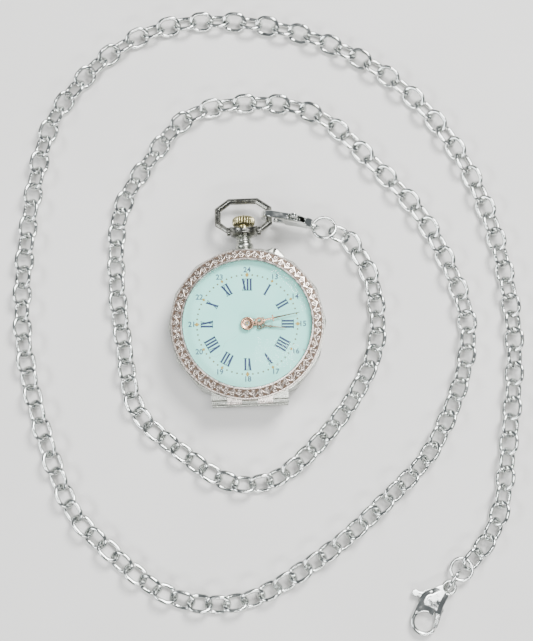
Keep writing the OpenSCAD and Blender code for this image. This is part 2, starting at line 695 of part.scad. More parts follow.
// Escape wheel with sloped teeth that stand clear of the cylinder
module escape_wheel() color("silver") translate([escape_p.x, escape_p.y, 0]) {
    at_height(escape_z0 + escape_t + 0.1, escape_z0 + escape_t + 0.25) {
        difference() {
            polygon([for (i = [0:escape_teeth - 1], k = [[0, 0.62], [0.1, 0.8], [0.28, 1], [0.55, 0.86],
                [0.6, 0.62]]) polar(escape_r * k[1], 360 * (i + k[0]) / escape_teeth)]);
            circle(0.5 * escape_r);
        }
        circle(0.45);
        for (a = [0:90:270]) rotate(a) translate([0, -0.1]) square([0.55 * escape_r, 0.2]);
    }
    pinion(escape_leaves, fourth_m, mesh_turn(escape_at, fourth_teeth, escape_leaves),
        plate_z0 - 0.8, plate_z0 - 0.4);
    cylinder_z(0.2, escape_z0 + escape_t + 0.02, plate_z0 - 0.02);
    cylinder_z(pivot_r, escape_z0 + 0.05, plate_z0 + 0.25);
}

module balance_wheel() color("gold") translate([balance_p.x, balance_p.y, 0])
    at_height(balance_z0, balance_z0 + 0.4) {
        difference() {
            circle(balance_r);
            circle(balance_r - 0.42);
        }
        difference() {
            union() {
                circle(0.8);
                for (a = [20, 140, 260]) rotate(a) translate([0, -0.22])
                    square([balance_r - 0.2, 0.44]);
            }
            circle(0.35);
        }
    }

// Staff of the balance, with the cylinder that the escape wheel acts on
module balance_staff() color("silver") translate([balance_p.x, balance_p.y, 0]) {
    cylinder_z(0.35, balance_z0 - 0.3, plate_z0 - 0.02);
    cylinder_z(pivot_r, cock_z0 + 0.25, plate_z0 + 0.25);
}

module hairspring() color("steelblue") translate([balance_p.x, balance_p.y, 0])
    at_height(balance_z0 - 0.26, balance_z0 - 0.1) polygon(spiral(0.36, 2.5, 9, 0.07, 126));

module cannon_pinion() color("silver") difference() {
    union() {
        pinion(cannon_leaves, motion_m, 0, motion_z, motion_z + 0.22);
        cylinder_z(cannon_r, motion_z, minute_hand_z + hand_t);
    }
    cylinder_z(arbor_r + 0.03, 0, 20);
}

// Pierced hand: a ringed boss, a scrolled middle and a tapered blade
module hand(reach, boss_r, bore, ring_p, ring_r, collar_p, w) difference() {
    union() {
        circle(boss_r);
        translate([ring_p, 0]) circle(ring_r);
        translate([collar_p, 0]) circle(2.2 * w);
        polygon([[0, -1.6 * w], [ring_p, -1.6 * w], [ring_p, -w], [collar_p, -w], [reach, -0.5 * w],
            [reach, 0.5 * w], [collar_p, w], [ring_p, w], [ring_p, 1.6 * w], [0, 1.6 * w]]);
    }
    translate([ring_p, 0]) circle(0.55 * ring_r);
    circle(bore);
}

module minute_hand() color("rosybrown") {
    at_height(minute_hand_z, minute_hand_z + hand_t) rotate(minute_angle)
        hand(minute_reach, 1.3, cannon_r, 2.9, 0.75, 6.3, 0.16);
    translate([0, 0, minute_hand_z]) rotate_extrude() polygon([[cannon_r, 0], [1.6, 0], [1.6, 0.35],
        [1.25, 0.35], [0.95, hand_t + 0.08], [cannon_r, hand_t + 0.08]]);
}

module minute_wheel() color("goldenrod") translate([minute_p.x, minute_p.y, 0]) difference() {
    union() {
        at_height(motion_z, motion_z + 0.18)
            rotate(minute_turn) polygon(tooth_points(minute_teeth, motion_m));
        pinion(minute_leaves, motion_m, 0, motion_z + 0.18, motion_z + 0.43);
    }
    cylinder_z(0.28, 0, 20);
}

module hour_wheel() color("goldenrod") difference() {
    union() {
        at_height(motion_z + 0.25, motion_z + 0.43)
            rotate(mesh_turn(minute_at + 180, minute_leaves, hour_teeth))
                polygon(tooth_points(hour_teeth, motion_m));
        cylinder_z(pipe_r, motion_z + 0.25, hour_hand_z + hand_t);
    }
    cylinder_z(cannon_r + 0.04, 0, 20);
    cylinder_z(cannon_r + 0.2, 0, motion_z + 0.26);
}

module hour_hand() color("darkslategray") at_height(hour_hand_z, hour_hand_z + hand_t)
    rotate(hour_angle) hand(hour_reach, 1.45, pipe_r, 3.3, 0.8, 5.5, 0.15);

module setting_wheel() color("silver") translate([setting_p.x, setting_p.y, 0])
    at_height(motion_z, motion_z + 0.2) difference() {
        rotate(mesh_turn(setting_at, minute_teeth, setting_teeth, minute_turn))
            polygon(tooth_points(setting_teeth, motion_m));
        circle(0.28);
    }

// Push pin with a head at its inner end, which keeps it in the case
module set_pin() color("silver") rotate(pin_at) translate([pin_end, 0, pin_z]) rotate([0, 90, 0]) {
    cylinder(r = pin_r, h = flat_r + 1.75 - pin_end);
    cylinder(r = pin_r + 0.2, h = 0.4);
}

module setting_lever() color("silver") {
    at_height(motion_z, motion_z + 0.25) {
        spindle(lever_p, 0.7, lever_tab, 0.5);
        spindle(lever_p, 0.7, lever_end, 0.35);
    }
    rod(lever_p, 0.28, plate_z0 + 0.45, motion_z + 0.25);
    rod(lever_tab, tab_r, plate_z0 + 0.05, motion_z);
}

// The bow lies in its own plane, then hangs down about its pivot
module hung() {
    translate([0, bow_y, stem_z]) rotate([-bow_droop, 0, 0]) children();
}

// Corners of the bow on one side of its middle, set in from its outside
function bow_side(inset) = let (w = bow_half - inset, h = bow_reach - inset)
    [[ear_x + 0.85 - inset / 3, 0], [w, 2 + inset / 3], [w, 6.5 - inset / 3], [0.54 * w + inset / 4, h]];
function bow_outline(inset) = let (side = bow_side(inset))
    concat(side, [for (i = [3:-1:0]) [-side[i].x, side[i].y]]);

// The opening stops short of the ears, which leaves a solid foot on each side
module bow() color("dimgray") hung() difference() {
    union() {
        at_height(-bow_bar / 2, bow_bar / 2) difference() {
            polygon(bow_outline(0));
            intersection() {
                polygon(bow_outline(bow_bar));
                translate([-bow_half, 1]) square([2 * bow_half, bow_reach]);
            }
            translate([-ear_x, -5]) square([2 * ear_x, 6.5]);
        }
        for (s = [-1, 1]) translate([s * (ear_x + ear_t / 2), 0, 0]) rotate([0, 90, 0])
            cylinder(r = 1.05, h = ear_t, center = true);
    }
    knuckle(-5, 5, 0, 0, 0.5);
    for (s = [-1, 1]) translate([s * (ear_x + ear_t - ear_sink + 1), 0, 0]) rotate([0, 90, 0])
        cylinder(r = ear_head_r + 0.06, h = 2, center = true);
}

module bow_screws() color("silver") for (s = [-1, 1]) translate([s * ear_x, bow_y, stem_z])
    rotate([0, 90 * s, 0]) difference() {
        union() {
            translate([0, 0, -1]) cylinder(r = 0.44, h = 1 + ear_t - ear_sink + 0.1);
            translate([0, 0, ear_t - ear_sink + 0.04]) cylinder(r = ear_head_r, h = ear_sink);
        }
        translate([0, 0, ear_t]) cube([0.2, 3, 0.24], center = true);
    }

// Body of a lobster clasp, flat in XY round the middle of its hook
module clasp_outline() difference() {
    union() {
        spindle([0, 0], 3.2, [5, 0.6], 2.9, 24);
        spindle([4.9, 0.5], 2.8, [8.2, -0.6], 1.7, 16);
    }
    circle(clasp_hole_r);
    polygon([[-0.4, -1.5], [-1, -5], [3.3, -5], [2.9, -1]]);
    translate(clasp_eye_p) circle(clasp_eye_r);
}

// Two cheeks with a space between them for the lever, and an eye of round wire at the tail
module clasp_body() difference() {
    union() {
        translate([0, 0, -clasp_t / 2]) linear_extrude(clasp_t) clasp_outline();
        translate([clasp_eye_p.x, clasp_eye_p.y, clasp_eye_lift]) ring(clasp_eye_r, clasp_eye_wire);
    }
    translate([0, 0, -0.52]) linear_extrude(1.04)
        polygon([[2, -6], [5, -6], [5.6, -1.5], [7.6, 1.4], [8.6, 6], [3.4, 6], [3.6, 1.5], [1.2, -1.2]]);
    translate([clasp_lever_p.x, clasp_lever_p.y, -5]) cylinder(r = 0.3, h = 10);
}

// Sprung lever: thumb piece, pivot and gate in one
module clasp_lever_shape() difference() {
    translate([0, 0, -0.45]) linear_extrude(0.9) {
        spindle(clasp_lever_p, 1.1, [4.2, -2.1], 0.75, 12);
        spindle([4.1, -2], 0.7, [0.4, -2.75], 0.5, 12);
        spindle(clasp_lever_p, 1, [5, 4.4], 0.6, 12);
        translate([4.9, 4.9]) circle(0.85);
    }
    translate([clasp_lever_p.x, clasp_lever_p.y, -5]) cylinder(r = 0.33, h = 10);
}

module clasp_pin_shape() translate([clasp_lever_p.x, clasp_lever_p.y, -clasp_t / 2])
    cylinder(r = 0.3, h = clasp_t);

module ring(r, wire) {
    rotate_extrude() translate([r, 0]) circle(wire / 2);
}

module on_bow() {
    translate(bow_clasp_p) rotate([90, 0, bow_clasp_turn]) children();
}

module at_end() {
    translate(end_clasp_p) rotate(end_clasp_turn) children();
}

module bow_clasp() color("gainsboro") on_bow() clasp_body();
module bow_clasp_lever() color("gainsboro") on_bow() clasp_lever_shape();
module bow_clasp_pin() color("gray") on_bow() clasp_pin_shape();
module bow_jump_ring() color("gainsboro") translate(bow_ring_p) rotate([-12, 0, 0]) ring(2.8, 0.85);
module end_clasp() color("gainsboro") at_end() clasp_body();
module end_clasp_lever() color("gainsboro") at_end() clasp_lever_shape();
module end_clasp_pin() color("gray") at_end() clasp_pin_shape();
module end_jump_ring() color("gainsboro") translate(end_ring_p)
    rotate([end_ring_tilt, 0, 0]) ring(2.6, 0.85);

// Link that stands on edge between the free clasp's eye and its ring
module end_link() color("gainsboro") translate(end_link_p)
    rotate([0, 0, end_link_turn]) rotate([end_link_roll, 0, 0]) link(5.6, 4, 0.85);

// Oval link in XY, long way along X
module link(l, w, wire) {
    r = (w - wire) / 2;
    half = (l - w) / 2;
    for (s = [-1, 1]) {
        translate([s * half, 0, 0]) rotate(s * 90 - 180) rotate_extrude(angle = 180)
            translate([r, 0]) circle(wire / 2);
        translate([-half, s * r, 0]) rotate([0, 90, 0]) cylinder(r = wire / 2, h = 2 * half);
    }
}

// One stretch of the chain, rolled one way and the other in turn
module chain(part) color("gainsboro") {
    first = round(part * link_count / link_parts);
    last = round((part + 1) * link_count / link_parts) - 1;
    for (i = [first:last]) translate([chain_at(i * link_pitch).x, chain_at(i * link_pitch).y, link_z])
        rotate([0, 0, chain_heading(i * link_pitch)]) rotate([i % 2 == 0 ? link_roll : -link_roll, 0, 0])
            link(link_l, link_w, link_wire);
}

module chain_inner_turn() chain(0);
module chain_middle_turn() chain(1);
module chain_outer_turn() chain(2);
module chain_end_turn() chain(3);

case_band();
pendant();
pusher_guard();
hinge_pins();
bezel();
crystal();
back_cover();
inner_cover();
dial();
mainplate();
barrel_bridge();
centre_bridge();
third_bridge();
fourth_bridge();
escape_cock();
balance_cock();
bridge_screws();
jewels();
case_screws();
regulator();
crown();
winding_stem();
crown_wheel();
crown_wheel_screw();
ratchet_wheel();
barrel_arbor();
click();
click_spring();
barrel_drum();
mainspring();
centre_wheel();
third_wheel();
fourth_wheel();
escape_wheel();
balance_wheel();
balance_staff();
hairspring();
cannon_pinion();
minute_hand();
minute_wheel();
hour_wheel();
hour_hand();
setting_wheel();
set_pin();
setting_lever();
bow();
bow_screws();
bow_clasp();
bow_clasp_lever();
bow_clasp_pin();
bow_jump_ring();
chain_inner_turn();
chain_middle_turn();
chain_outer_turn();
chain_end_turn();
end_jump_ring();
end_link();
end_clasp();
end_clasp_lever();
end_clasp_pin();
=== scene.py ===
import json
import math

import bmesh
import bpy
import numpy as np
from mathutils import Matrix, Vector


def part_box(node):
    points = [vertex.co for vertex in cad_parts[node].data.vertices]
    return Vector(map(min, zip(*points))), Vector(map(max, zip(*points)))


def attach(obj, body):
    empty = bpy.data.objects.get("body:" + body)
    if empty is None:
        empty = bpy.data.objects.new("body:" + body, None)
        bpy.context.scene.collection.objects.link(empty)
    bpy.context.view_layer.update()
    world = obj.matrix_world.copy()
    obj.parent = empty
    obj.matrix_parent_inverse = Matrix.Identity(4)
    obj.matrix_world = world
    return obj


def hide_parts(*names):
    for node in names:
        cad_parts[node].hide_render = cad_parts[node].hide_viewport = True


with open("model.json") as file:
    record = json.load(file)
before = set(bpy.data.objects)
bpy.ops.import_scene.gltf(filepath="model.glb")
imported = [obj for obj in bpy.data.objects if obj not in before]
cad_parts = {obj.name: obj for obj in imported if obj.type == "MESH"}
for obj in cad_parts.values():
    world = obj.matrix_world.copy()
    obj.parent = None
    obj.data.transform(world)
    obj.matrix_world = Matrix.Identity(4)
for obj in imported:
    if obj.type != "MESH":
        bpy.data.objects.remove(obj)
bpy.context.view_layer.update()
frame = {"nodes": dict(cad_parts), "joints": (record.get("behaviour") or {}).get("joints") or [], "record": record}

MM = 0.001
JOINTS = {j["name"]: j for j in frame["joints"]}


# ---------------------------------------------------------------- sizes, in mm

def in_mm(point):
    return Vector(point) / MM


def box_mm(node):
    low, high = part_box(node)
    return in_mm(low), in_mm(high)


def middle(node):
    low, high = box_mm(node)
    return (low + high) / 2


def pivot(joint):
    return in_mm(JOINTS[joint]["pos_m"])


BOW_PIVOT = pivot("bow_swing")
STEM_Z = BOW_PIVOT.z
DIAL_TOP = box_mm("dial")[1].z
HOUR_Z = box_mm("hour_hand")[0].z
MINUTE_Z = box_mm("minute_hand")[0].z
HAND_T = 0.15
BEZEL_HIGH = box_mm("bezel")[1]
BEZEL_R = BEZEL_HIGH.x
BEZEL_W = 2.9
BEZEL_IN = BEZEL_R - BEZEL_W
CROWN_H = 2.4
CROWN_Y = box_mm("crown")[1].y - CROWN_H
CROWN_R = box_mm("crown")[1].x

# The dial sits turned a little clockwise in the case
DIAL_TURN = 1.8
HOURS, MINUTES = 3, 13
HOUR_ANGLE = 90 - DIAL_TURN - 30 * (HOURS + MINUTES / 60)
MINUTE_ANGLE = 90 - DIAL_TURN - 6 * MINUTES

# Chain: one link, and the route of its middle line
LINK_L, LINK_W, LINK_WIRE = 6.5, 5.3, 1.05
LINK_PITCH = 4.25
LINK_ROLL = 36
LINK_Z = (LINK_W - LINK_WIRE) / 2 * math.sin(math.radians(LINK_ROLL)) + LINK_WIRE / 2 + 0.02
CHAIN = [(26.6, 20.6), (31, 11), (31.5, -4), (25, -18), (14, -30.5), (4.5, -37), (-6, -37),
         (-17, -29.5), (-27.5, -19), (-30.5, -3), (-32, 15), (-30.5, 31), (-23, 44), (-12, 55.5),
         (5, 58), (20, 54), (34, 40), (46.5, 23), (54, -3), (45, -28.5), (31, -43.5), (15, -56),
         (-3, -65), (-20, -63.5), (-35, -52), (-46, -37), (-55.3, 2), (-50.5, 46), (-40.5, 65),
         (-25, 77), (-6, 80.5), (17, 76), (38, 64), (53, 46), (62, 23), (65.2, -5), (61, -36),
         (58.5, -47), (55, -53.5), (51, -58)]
CURVE_STEPS = 10


# ---------------------------------------------------------------- materials

def new_material(name, color, metallic, roughness):
    """A principled material, with its nodes, links and shader."""
    m = bpy.data.materials.new(name)
    m.use_nodes = True
    nodes, links = m.node_tree.nodes, m.node_tree.links
    shader = nodes["Principled BSDF"]
    shader.inputs["Base Color"].default_value = (*color, 1)
    shader.inputs["Metallic"].default_value = metallic
    shader.inputs["Roughness"].default_value = roughness
    return m, nodes, links, shader


def noise(nodes, links, scale, detail=4, stretch=(1, 1, 1)):
    """Noise over the object's own coordinates, in metres. Its output is about 0.5."""
    where = nodes.new("ShaderNodeTexCoord")
    place = nodes.new("ShaderNodeMapping")
    place.inputs["Scale"].default_value = stretch
    pattern = nodes.new("ShaderNodeTexNoise")
    pattern.inputs["Scale"].default_value = scale
    pattern.inputs["Detail"].default_value = detail
    links.new(where.outputs["Object"], place.inputs["Vector"])
    links.new(place.outputs["Vector"], pattern.inputs["Vector"])
    return pattern.outputs["Fac"]


def ramp(nodes, links, value, stops):
    """Colour ramp over a value. stops is a list of (position, colour)."""
    r = nodes.new("ShaderNodeValToRGB")
    while len(r.color_ramp.elements) < len(stops):
        r.color_ramp.elements.new(0.5)
    for element, (position, color) in zip(r.color_ramp.elements, stops):
        element.position = position
        element.color = (*color, 1)
    links.new(value, r.inputs["Fac"])
    return r.outputs["Color"]


def grey(v):
    return (v, v, v)


def bump(nodes, links, shader, height, distance, strength=1.0):
    b = nodes.new("ShaderNodeBump")
    b.inputs["Distance"].default_value = distance
    b.inputs["Strength"].default_value = strength
    links.new(height, b.inputs["Height"])
    links.new(b.outputs["Normal"], shader.inputs["Normal"])


def worn_metal(name, color, dark, roughness, grain=900, scratch=(1, 1, 1), depth=2e-5, tarnish=0.5):
    """Metal with cloudy tarnish, fine scratches and uneven polish."""
    m, nodes, links, shader = new_material(name, color, 1, roughness)
    clouds = noise(nodes, links, grain, 6)
    links.new(ramp(nodes, links, clouds, [(tarnish - 0.2, dark), (tarnish, color), (1, color)]),
              shader.inputs["Base Color"])
    polish = noise(nodes, links, grain * 2.5, 3, scratch)
    links.new(ramp(nodes, links, polish, [(0.25, grey(max(roughness - 0.1, 0.04))),
                                          (0.75, grey(roughness + 0.14))]),
              shader.inputs["Roughness"])
    bump(nodes, links, shader, noise(nodes, links, grain * 4, 5, scratch), depth, 0.5)
    return m


def enamel():
    """Pale fired enamel: glossy, with faint clouds and specks under the glaze."""
    m, nodes, links, shader = new_material("enamel", (0.48, 0.97, 0.89), 0, 0.16)
    shader.inputs["Coat Weight"].default_value = 0.5
    shader.inputs["Coat Roughness"].default_value = 0.06
    clouds = noise(nodes, links, 160, 5)
    links.new(ramp(nodes, links, clouds, [(0.3, (0.42, 0.94, 0.86)), (0.6, (0.48, 0.98, 0.90)),
                                          (0.8, (0.56, 0.98, 0.92))]), shader.inputs["Base Color"])
    bump(nodes, links, shader, noise(nodes, links, 300, 2), 4e-6, 0.2)
    return m


def ink(name, color, roughness=0.35):
    """Fired enamel paint, a little uneven in tone."""
    m, nodes, links, shader = new_material(name, color, 0, roughness)
    paler = tuple(min(1, c * 1.8 + 0.02) for c in color)
    links.new(ramp(nodes, links, noise(nodes, links, 3500, 4), [(0.35, color), (0.75, paler)]),
              shader.inputs["Base Color"])
    bump(nodes, links, shader, noise(nodes, links, 5000, 2), 4e-6, 0.4)
    return m


def engraved(name, high, low):
    """Metal whose cuts are dark. The mesh's own relief value says how high each point stands."""
    m, nodes, links, shader = new_material(name, high, 1, 0.3)
    relief = nodes.new("ShaderNodeAttribute")
    relief.attribute_name = "relief"
    middle = tuple((a + 2 * b) / 3 for a, b in zip(high, low))
    links.new(ramp(nodes, links, relief.outputs["Fac"], [(0.1, low), (0.45, middle), (0.8, high)]),
              shader.inputs["Base Color"])
    links.new(ramp(nodes, links, relief.outputs["Fac"], [(0.1, grey(0.6)), (0.8, grey(0.26))]),
              shader.inputs["Roughness"])
    bump(nodes, links, shader, noise(nodes, links, 6000, 4), 3e-5, 0.6)
    return m


def perlage(name, color, dark):
    """Gilt plate with overlapping round brush marks."""
    m, nodes, links, shader = new_material(name, color, 1, 0.36)
    where = nodes.new("ShaderNodeTexCoord")
    spots = nodes.new("ShaderNodeTexVoronoi")
    spots.inputs["Scale"].default_value = 850
    links.new(where.outputs["Object"], spots.inputs["Vector"])
    rings = nodes.new("ShaderNodeMath")
    rings.operation = "SINE"
    spread = nodes.new("ShaderNodeMath")
    spread.operation = "MULTIPLY"
    spread.inputs[1].default_value = 40
    links.new(spots.outputs["Distance"], spread.inputs[0])
    links.new(spread.outputs[0], rings.inputs[0])
    links.new(ramp(nodes, links, noise(nodes, links, 700, 5), [(0.3, dark), (0.6, color)]),
              shader.inputs["Base Color"])
    bump(nodes, links, shader, rings.outputs[0], 1e-5, 0.35)
    return m


def clear_glass():
    """Thin clear crystal: see-through, with a sharp reflection that grows towards the edge."""
    m, nodes, links, shader = new_material("crystal", (0.01, 0.01, 0.01), 0, 0.03)
    shader.inputs["Specular IOR Level"].default_value = 1.0
    bump(nodes, links, shader, noise(nodes, links, 60, 1), 4e-6, 0.1)
    clear = nodes.new("ShaderNodeBsdfTransparent")
    clear.inputs["Color"].default_value = (0.97, 1, 0.99, 1)
    edge = nodes.new("ShaderNodeLayerWeight")
    edge.inputs["Blend"].default_value = 0.5
    steep = nodes.new("ShaderNodeMath")
    steep.operation = "POWER"
    steep.inputs[1].default_value = 5
    links.new(edge.outputs["Facing"], steep.inputs[0])
    gloss = nodes.new("ShaderNodeMath")
    gloss.operation = "MULTIPLY_ADD"
    gloss.inputs[1].default_value = 0.7
    gloss.inputs[2].default_value = 0.025
    links.new(steep.outputs[0], gloss.inputs[0])
    mix = nodes.new("ShaderNodeMixShader")
    links.new(gloss.outputs[0], mix.inputs["Fac"])
    links.new(clear.outputs["BSDF"], mix.inputs[1])
    links.new(shader.outputs["BSDF"], mix.inputs[2])
    links.new(mix.outputs["Shader"], nodes["Material Output"].inputs["Surface"])
    return m


def ruby():
    m, nodes, links, shader = new_material("ruby", (0.45, 0.02, 0.08), 0, 0.08)
    shader.inputs["Coat Weight"].default_value = 0.8
    links.new(ramp(nodes, links, noise(nodes, links, 2500, 2),
                   [(0.3, (0.32, 0.01, 0.05)), (0.7, (0.55, 0.04, 0.12))]),
              shader.inputs["Base Color"])
    return m


BRUSHED = (1, 8, 1)
MATERIALS = {
    "case_silver": worn_metal("case_silver", (0.42, 0.43, 0.39), (0.19, 0.18, 0.15), 0.28, 400,
                              scratch=BRUSHED, tarnish=0.42),
    "dark_silver": worn_metal("dark_silver", (0.21, 0.21, 0.19), (0.09, 0.085, 0.07), 0.24, 400,
                              depth=4e-6, tarnish=0.45),
    "bezel_rose": worn_metal("bezel_rose", (0.66, 0.60, 0.55), (0.30, 0.25, 0.21), 0.24, 500,
                             tarnish=0.4),
    "crystal_glass": clear_glass(),
    "inner_gilt": worn_metal("inner_gilt", (0.74, 0.57, 0.30), (0.45, 0.32, 0.15), 0.28, 300),
    "enamel": enamel(),
    "gilt": perlage("gilt", (0.72, 0.54, 0.27), (0.48, 0.34, 0.15)),
    "wheel_brass": worn_metal("wheel_brass", (0.76, 0.58, 0.28), (0.50, 0.36, 0.16), 0.24, 1200),
    "blued_steel": worn_metal("blued_steel", (0.05, 0.08, 0.26), (0.02, 0.03, 0.12), 0.22, 2500),
    "ruby": ruby(),
    "bright_steel": worn_metal("bright_steel", (0.58, 0.58, 0.59), (0.36, 0.36, 0.37), 0.22, 1500),
    "crown_brass": worn_metal("crown_brass", (0.62, 0.52, 0.30), (0.30, 0.23, 0.12), 0.27, 900),
    "rose_gold": worn_metal("rose_gold", (0.66, 0.36, 0.25), (0.34, 0.18, 0.12), 0.26, 1400,
                            tarnish=0.45),
    "hand_dark": worn_metal("hand_dark", (0.20, 0.17, 0.13), (0.06, 0.08, 0.08), 0.30, 2600),
    "chain_silver": worn_metal("chain_silver", (0.66, 0.68, 0.66), (0.34, 0.35, 0.34), 0.13, 300,
                               depth=6e-6, tarnish=0.4),
}
ENGRAVED = engraved("bezel_engraving", (0.62, 0.54, 0.48), (0.15, 0.11, 0.085))
CUT_BRASS = engraved("crown_cut_brass", (0.66, 0.60, 0.34), (0.07, 0.06, 0.03))
NAVY = ink("numeral_navy", (0.012, 0.018, 0.075))
BLUE_GREY = ink("numeral_blue_grey", (0.045, 0.065, 0.12))
DOT_INK = ink("dot_brown", (0.14, 0.11, 0.035))
GOLD_PAINT = ink("diamond_gold", (0.36, 0.22, 0.05), 0.3)
CRACK_INK = ink("crack_grey", (0.36, 0.42, 0.40), 0.5)

for row in frame["record"]["subparts"]:
    node = frame["nodes"][row["node"]]
    node.data.materials.clear()
    node.data.materials.append(MATERIALS[row["material_slot"]])


# ---------------------------------------------------------------- mesh helpers

def add_mesh(name, verts, faces, material, slot, body, smooth=True):
    """A new piece from points in mm, riding on a body and finished with the given material. The slot argument is
    not used.
    """
    data = bpy.data.meshes.new(name)
    data.from_pydata([tuple(Vector(v) * MM) for v in verts], [], faces)
    data.materials.append(material)
    piece = bpy.data.objects.new(name, data)
    bpy.context.scene.collection.objects.link(piece)
    tidy_normals(piece, smooth)
    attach(piece, body)
    return piece


def tidy_normals(piece, smooth, sharp=40):
    """Closes up double points and points every face outwards."""
    b = bmesh.new()
    b.from_mesh(piece.data)
    bmesh.ops.remove_doubles(b, verts=b.verts, dist=1e-7)
    bmesh.ops.recalc_face_normals(b, faces=b.faces)
    for face in b.faces:
        face.smooth = smooth
    for edge in b.edges:
        if len(edge.link_faces) == 2 and edge.calc_face_angle(0) > math.radians(sharp):
            edge.smooth = False
    b.to_mesh(piece.data)
    b.free()


def grid_faces(rows, columns, close_rows=False, close_columns=True):
    """Quads over a grid of points stored row by row."""
    faces = []
    for i in range(rows if close_rows else rows - 1):
        for j in range(columns if close_columns else columns - 1):
            k, n = (i + 1) % rows, (j + 1) % columns
            faces.append((i * columns + j, i * columns + n, k * columns + n, k * columns + j))
    return faces


def lathe(profile, steps, wobble=None):
    """Points and faces of a closed ring profile (r, z) turned about Z. wobble(r, z, angle) gives r."""
    verts = []
    for r, z in profile:
        for k in range(steps):
            a = 2 * math.pi * k / steps
            radius = wobble(r, z, a) if wobble else r
            verts.append((radius * math.cos(a), radius * math.sin(a), z))
    return verts, grid_faces(len(profile), steps, close_rows=True)


def moved(verts, matrix):
    return [matrix @ Vector(v) for v in verts]


def joined(parts):
    """Several (points, faces) as one."""
    verts, faces = [], []
    for v, f in parts:
        faces += [tuple(i + len(verts) for i in face) for face in f]
        verts += list(v)
    return verts, faces


def prism(outline, z0, z1, inset=0.0):
    """A solid plate from an outline that its own middle can see, with a bevelled upper edge."""
    n = len(outline)
    centre = sum((Vector(p) for p in outline), Vector((0, 0))) / n
    top = [Vector(p) - (Vector(p) - centre).normalized() * inset for p in outline]
    rings = [(outline, z0), (outline, z1 - inset), (top, z1)]
    verts = [(p[0], p[1], z) for ring, z in rings for p in ring]
    faces = grid_faces(3, n)
    return verts, faces + [tuple(range(n - 1, -1, -1)), tuple(range(2 * n, 3 * n))]


def bar(p, q, w0, w1, z0, z1, inset=0.0):
    """A straight bar with flat ends from p to q, w0 wide at p and w1 at q."""
    p, q = Vector(p), Vector(q)
    side = (q - p).normalized().orthogonal()
    outline = [p - side * w0 / 2, q - side * w1 / 2, q + side * w1 / 2, p + side * w0 / 2]
    return prism(outline, z0, z1, inset)


def polar(r, degrees):
    a = math.radians(degrees)
    return Vector((r * math.cos(a), r * math.sin(a)))


def disc(p, r, z0, z1, inset=0.0, steps=20):
    return prism([Vector(p) + polar(r, 360 * k / steps) for k in range(steps)], z0, z1, inset)


def annulus(p, r_out, r_in, z0, z1, steps=28):
    """A flat ring with softened edges, at p."""
    e = min(0.04, (z1 - z0) / 3, (r_out - r_in) / 3)
    profile = [(r_in, z0), (r_out, z0), (r_out, z1 - e), (r_out - e, z1), (r_in + e, z1),
               (r_in, z1 - e)]
    verts, faces = lathe(profile, steps)
    return moved(verts, Matrix.Translation((p[0], p[1], 0))), faces


def turned_z(part, degrees):
    return moved(part[0], Matrix.Rotation(math.radians(degrees), 4, "Z")), part[1]


def torus(r, wire, steps=72, sides=14, swell=None):
    """A ring of wire in XY. swell(angle, side angle) scales the wire's radius."""
    verts = []
    for k in range(steps):
        a = 2 * math.pi * k / steps
        for s in range(sides):
            b = 2 * math.pi * s / sides
            w = wire / 2 * (swell(a, b) if swell else 1)
            verts.append(((r + w * math.cos(b)) * math.cos(a), (r + w * math.cos(b)) * math.sin(a),
                          w * math.sin(b)))
    return verts, grid_faces(steps, sides, close_rows=True)


def set_relief(piece, verts, values):
    """Stores how high each point stands, from 0 to 1, for an engraved material to read."""
    attribute = piece.data.attributes.new("relief", "FLOAT", "POINT")
    order = {tuple(round(c, 4) for c in v): x for v, x in zip(verts, values)}
    for vertex in piece.data.vertices:
        key = tuple(round(c, 4) for c in in_mm(vertex.co))
        attribute.data[vertex.index].value = order.get(key, 0.0)


def softened(node, voxel, rounds):
    """A copy of a CAD node as one rounded casting, which stands for the node."""
    source = frame["nodes"][node]
    piece = bpy.data.objects.new(node + "_cast", source.data.copy())
    bpy.context.scene.collection.objects.link(piece)
    tidy_normals(piece, True, 180)
    remesh = piece.modifiers.new("remesh", "REMESH")
    remesh.mode = "VOXEL"
    remesh.voxel_size = voxel * MM
    smooth = piece.modifiers.new("smooth", "SMOOTH")
    smooth.iterations = rounds
    smooth.factor = 0.5
    depsgraph = bpy.context.evaluated_depsgraph_get()
    data = bpy.data.meshes.new_from_object(piece.evaluated_get(depsgraph))
    piece.modifiers.clear()
    piece.data = data
    for polygon in data.polygons:
        polygon.use_smooth = True
    slot = next(r["material_slot"] for r in frame["record"]["subparts"] if r["node"] == node)
    data.materials.clear()
    data.materials.append(MATERIALS[slot])
    body = next(b for b, names in frame["record"]["behaviour"]["bodies"].items() if node in names)
    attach(piece, body)
    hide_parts(node)
    return piece


# ---------------------------------------------------------------- camera

def make_camera():
    """Nearly overhead, from the six o'clock side."""
    place, target = Vector((2.6, -49.8, 295.4)), Vector((4.7, 2.3, 0))
    data = bpy.data.cameras.new("camera")
    data.lens = 68.07
    camera = bpy.data.objects.new("camera", data)
    camera.location = place * MM
    camera.rotation_euler = (target - place).to_track_quat("-Z", "Y").to_euler()
    data.clip_start, data.clip_end = 0.01, 10
    bpy.context.scene.collection.objects.link(camera)
    bpy.context.scene.camera = camera


# ---------------------------------------------------------------- chain

def route():
    """Points along a smooth curve through the chain's own points."""
    p = [Vector(q) for q in CHAIN]
    out = []
    for i in range(len(p) - 1):
        a, b, c, d = p[max(i - 1, 0)], p[i], p[i + 1], p[min(i + 2, len(p) - 1)]
        for k in range(CURVE_STEPS):
            u = k / CURVE_STEPS
            out.append((2 * b + (c - a) * u + (2 * a - 5 * b + 4 * c - d) * u ** 2
                        + (3 * b - a - 3 * c + d) * u ** 3) / 2)
    return out


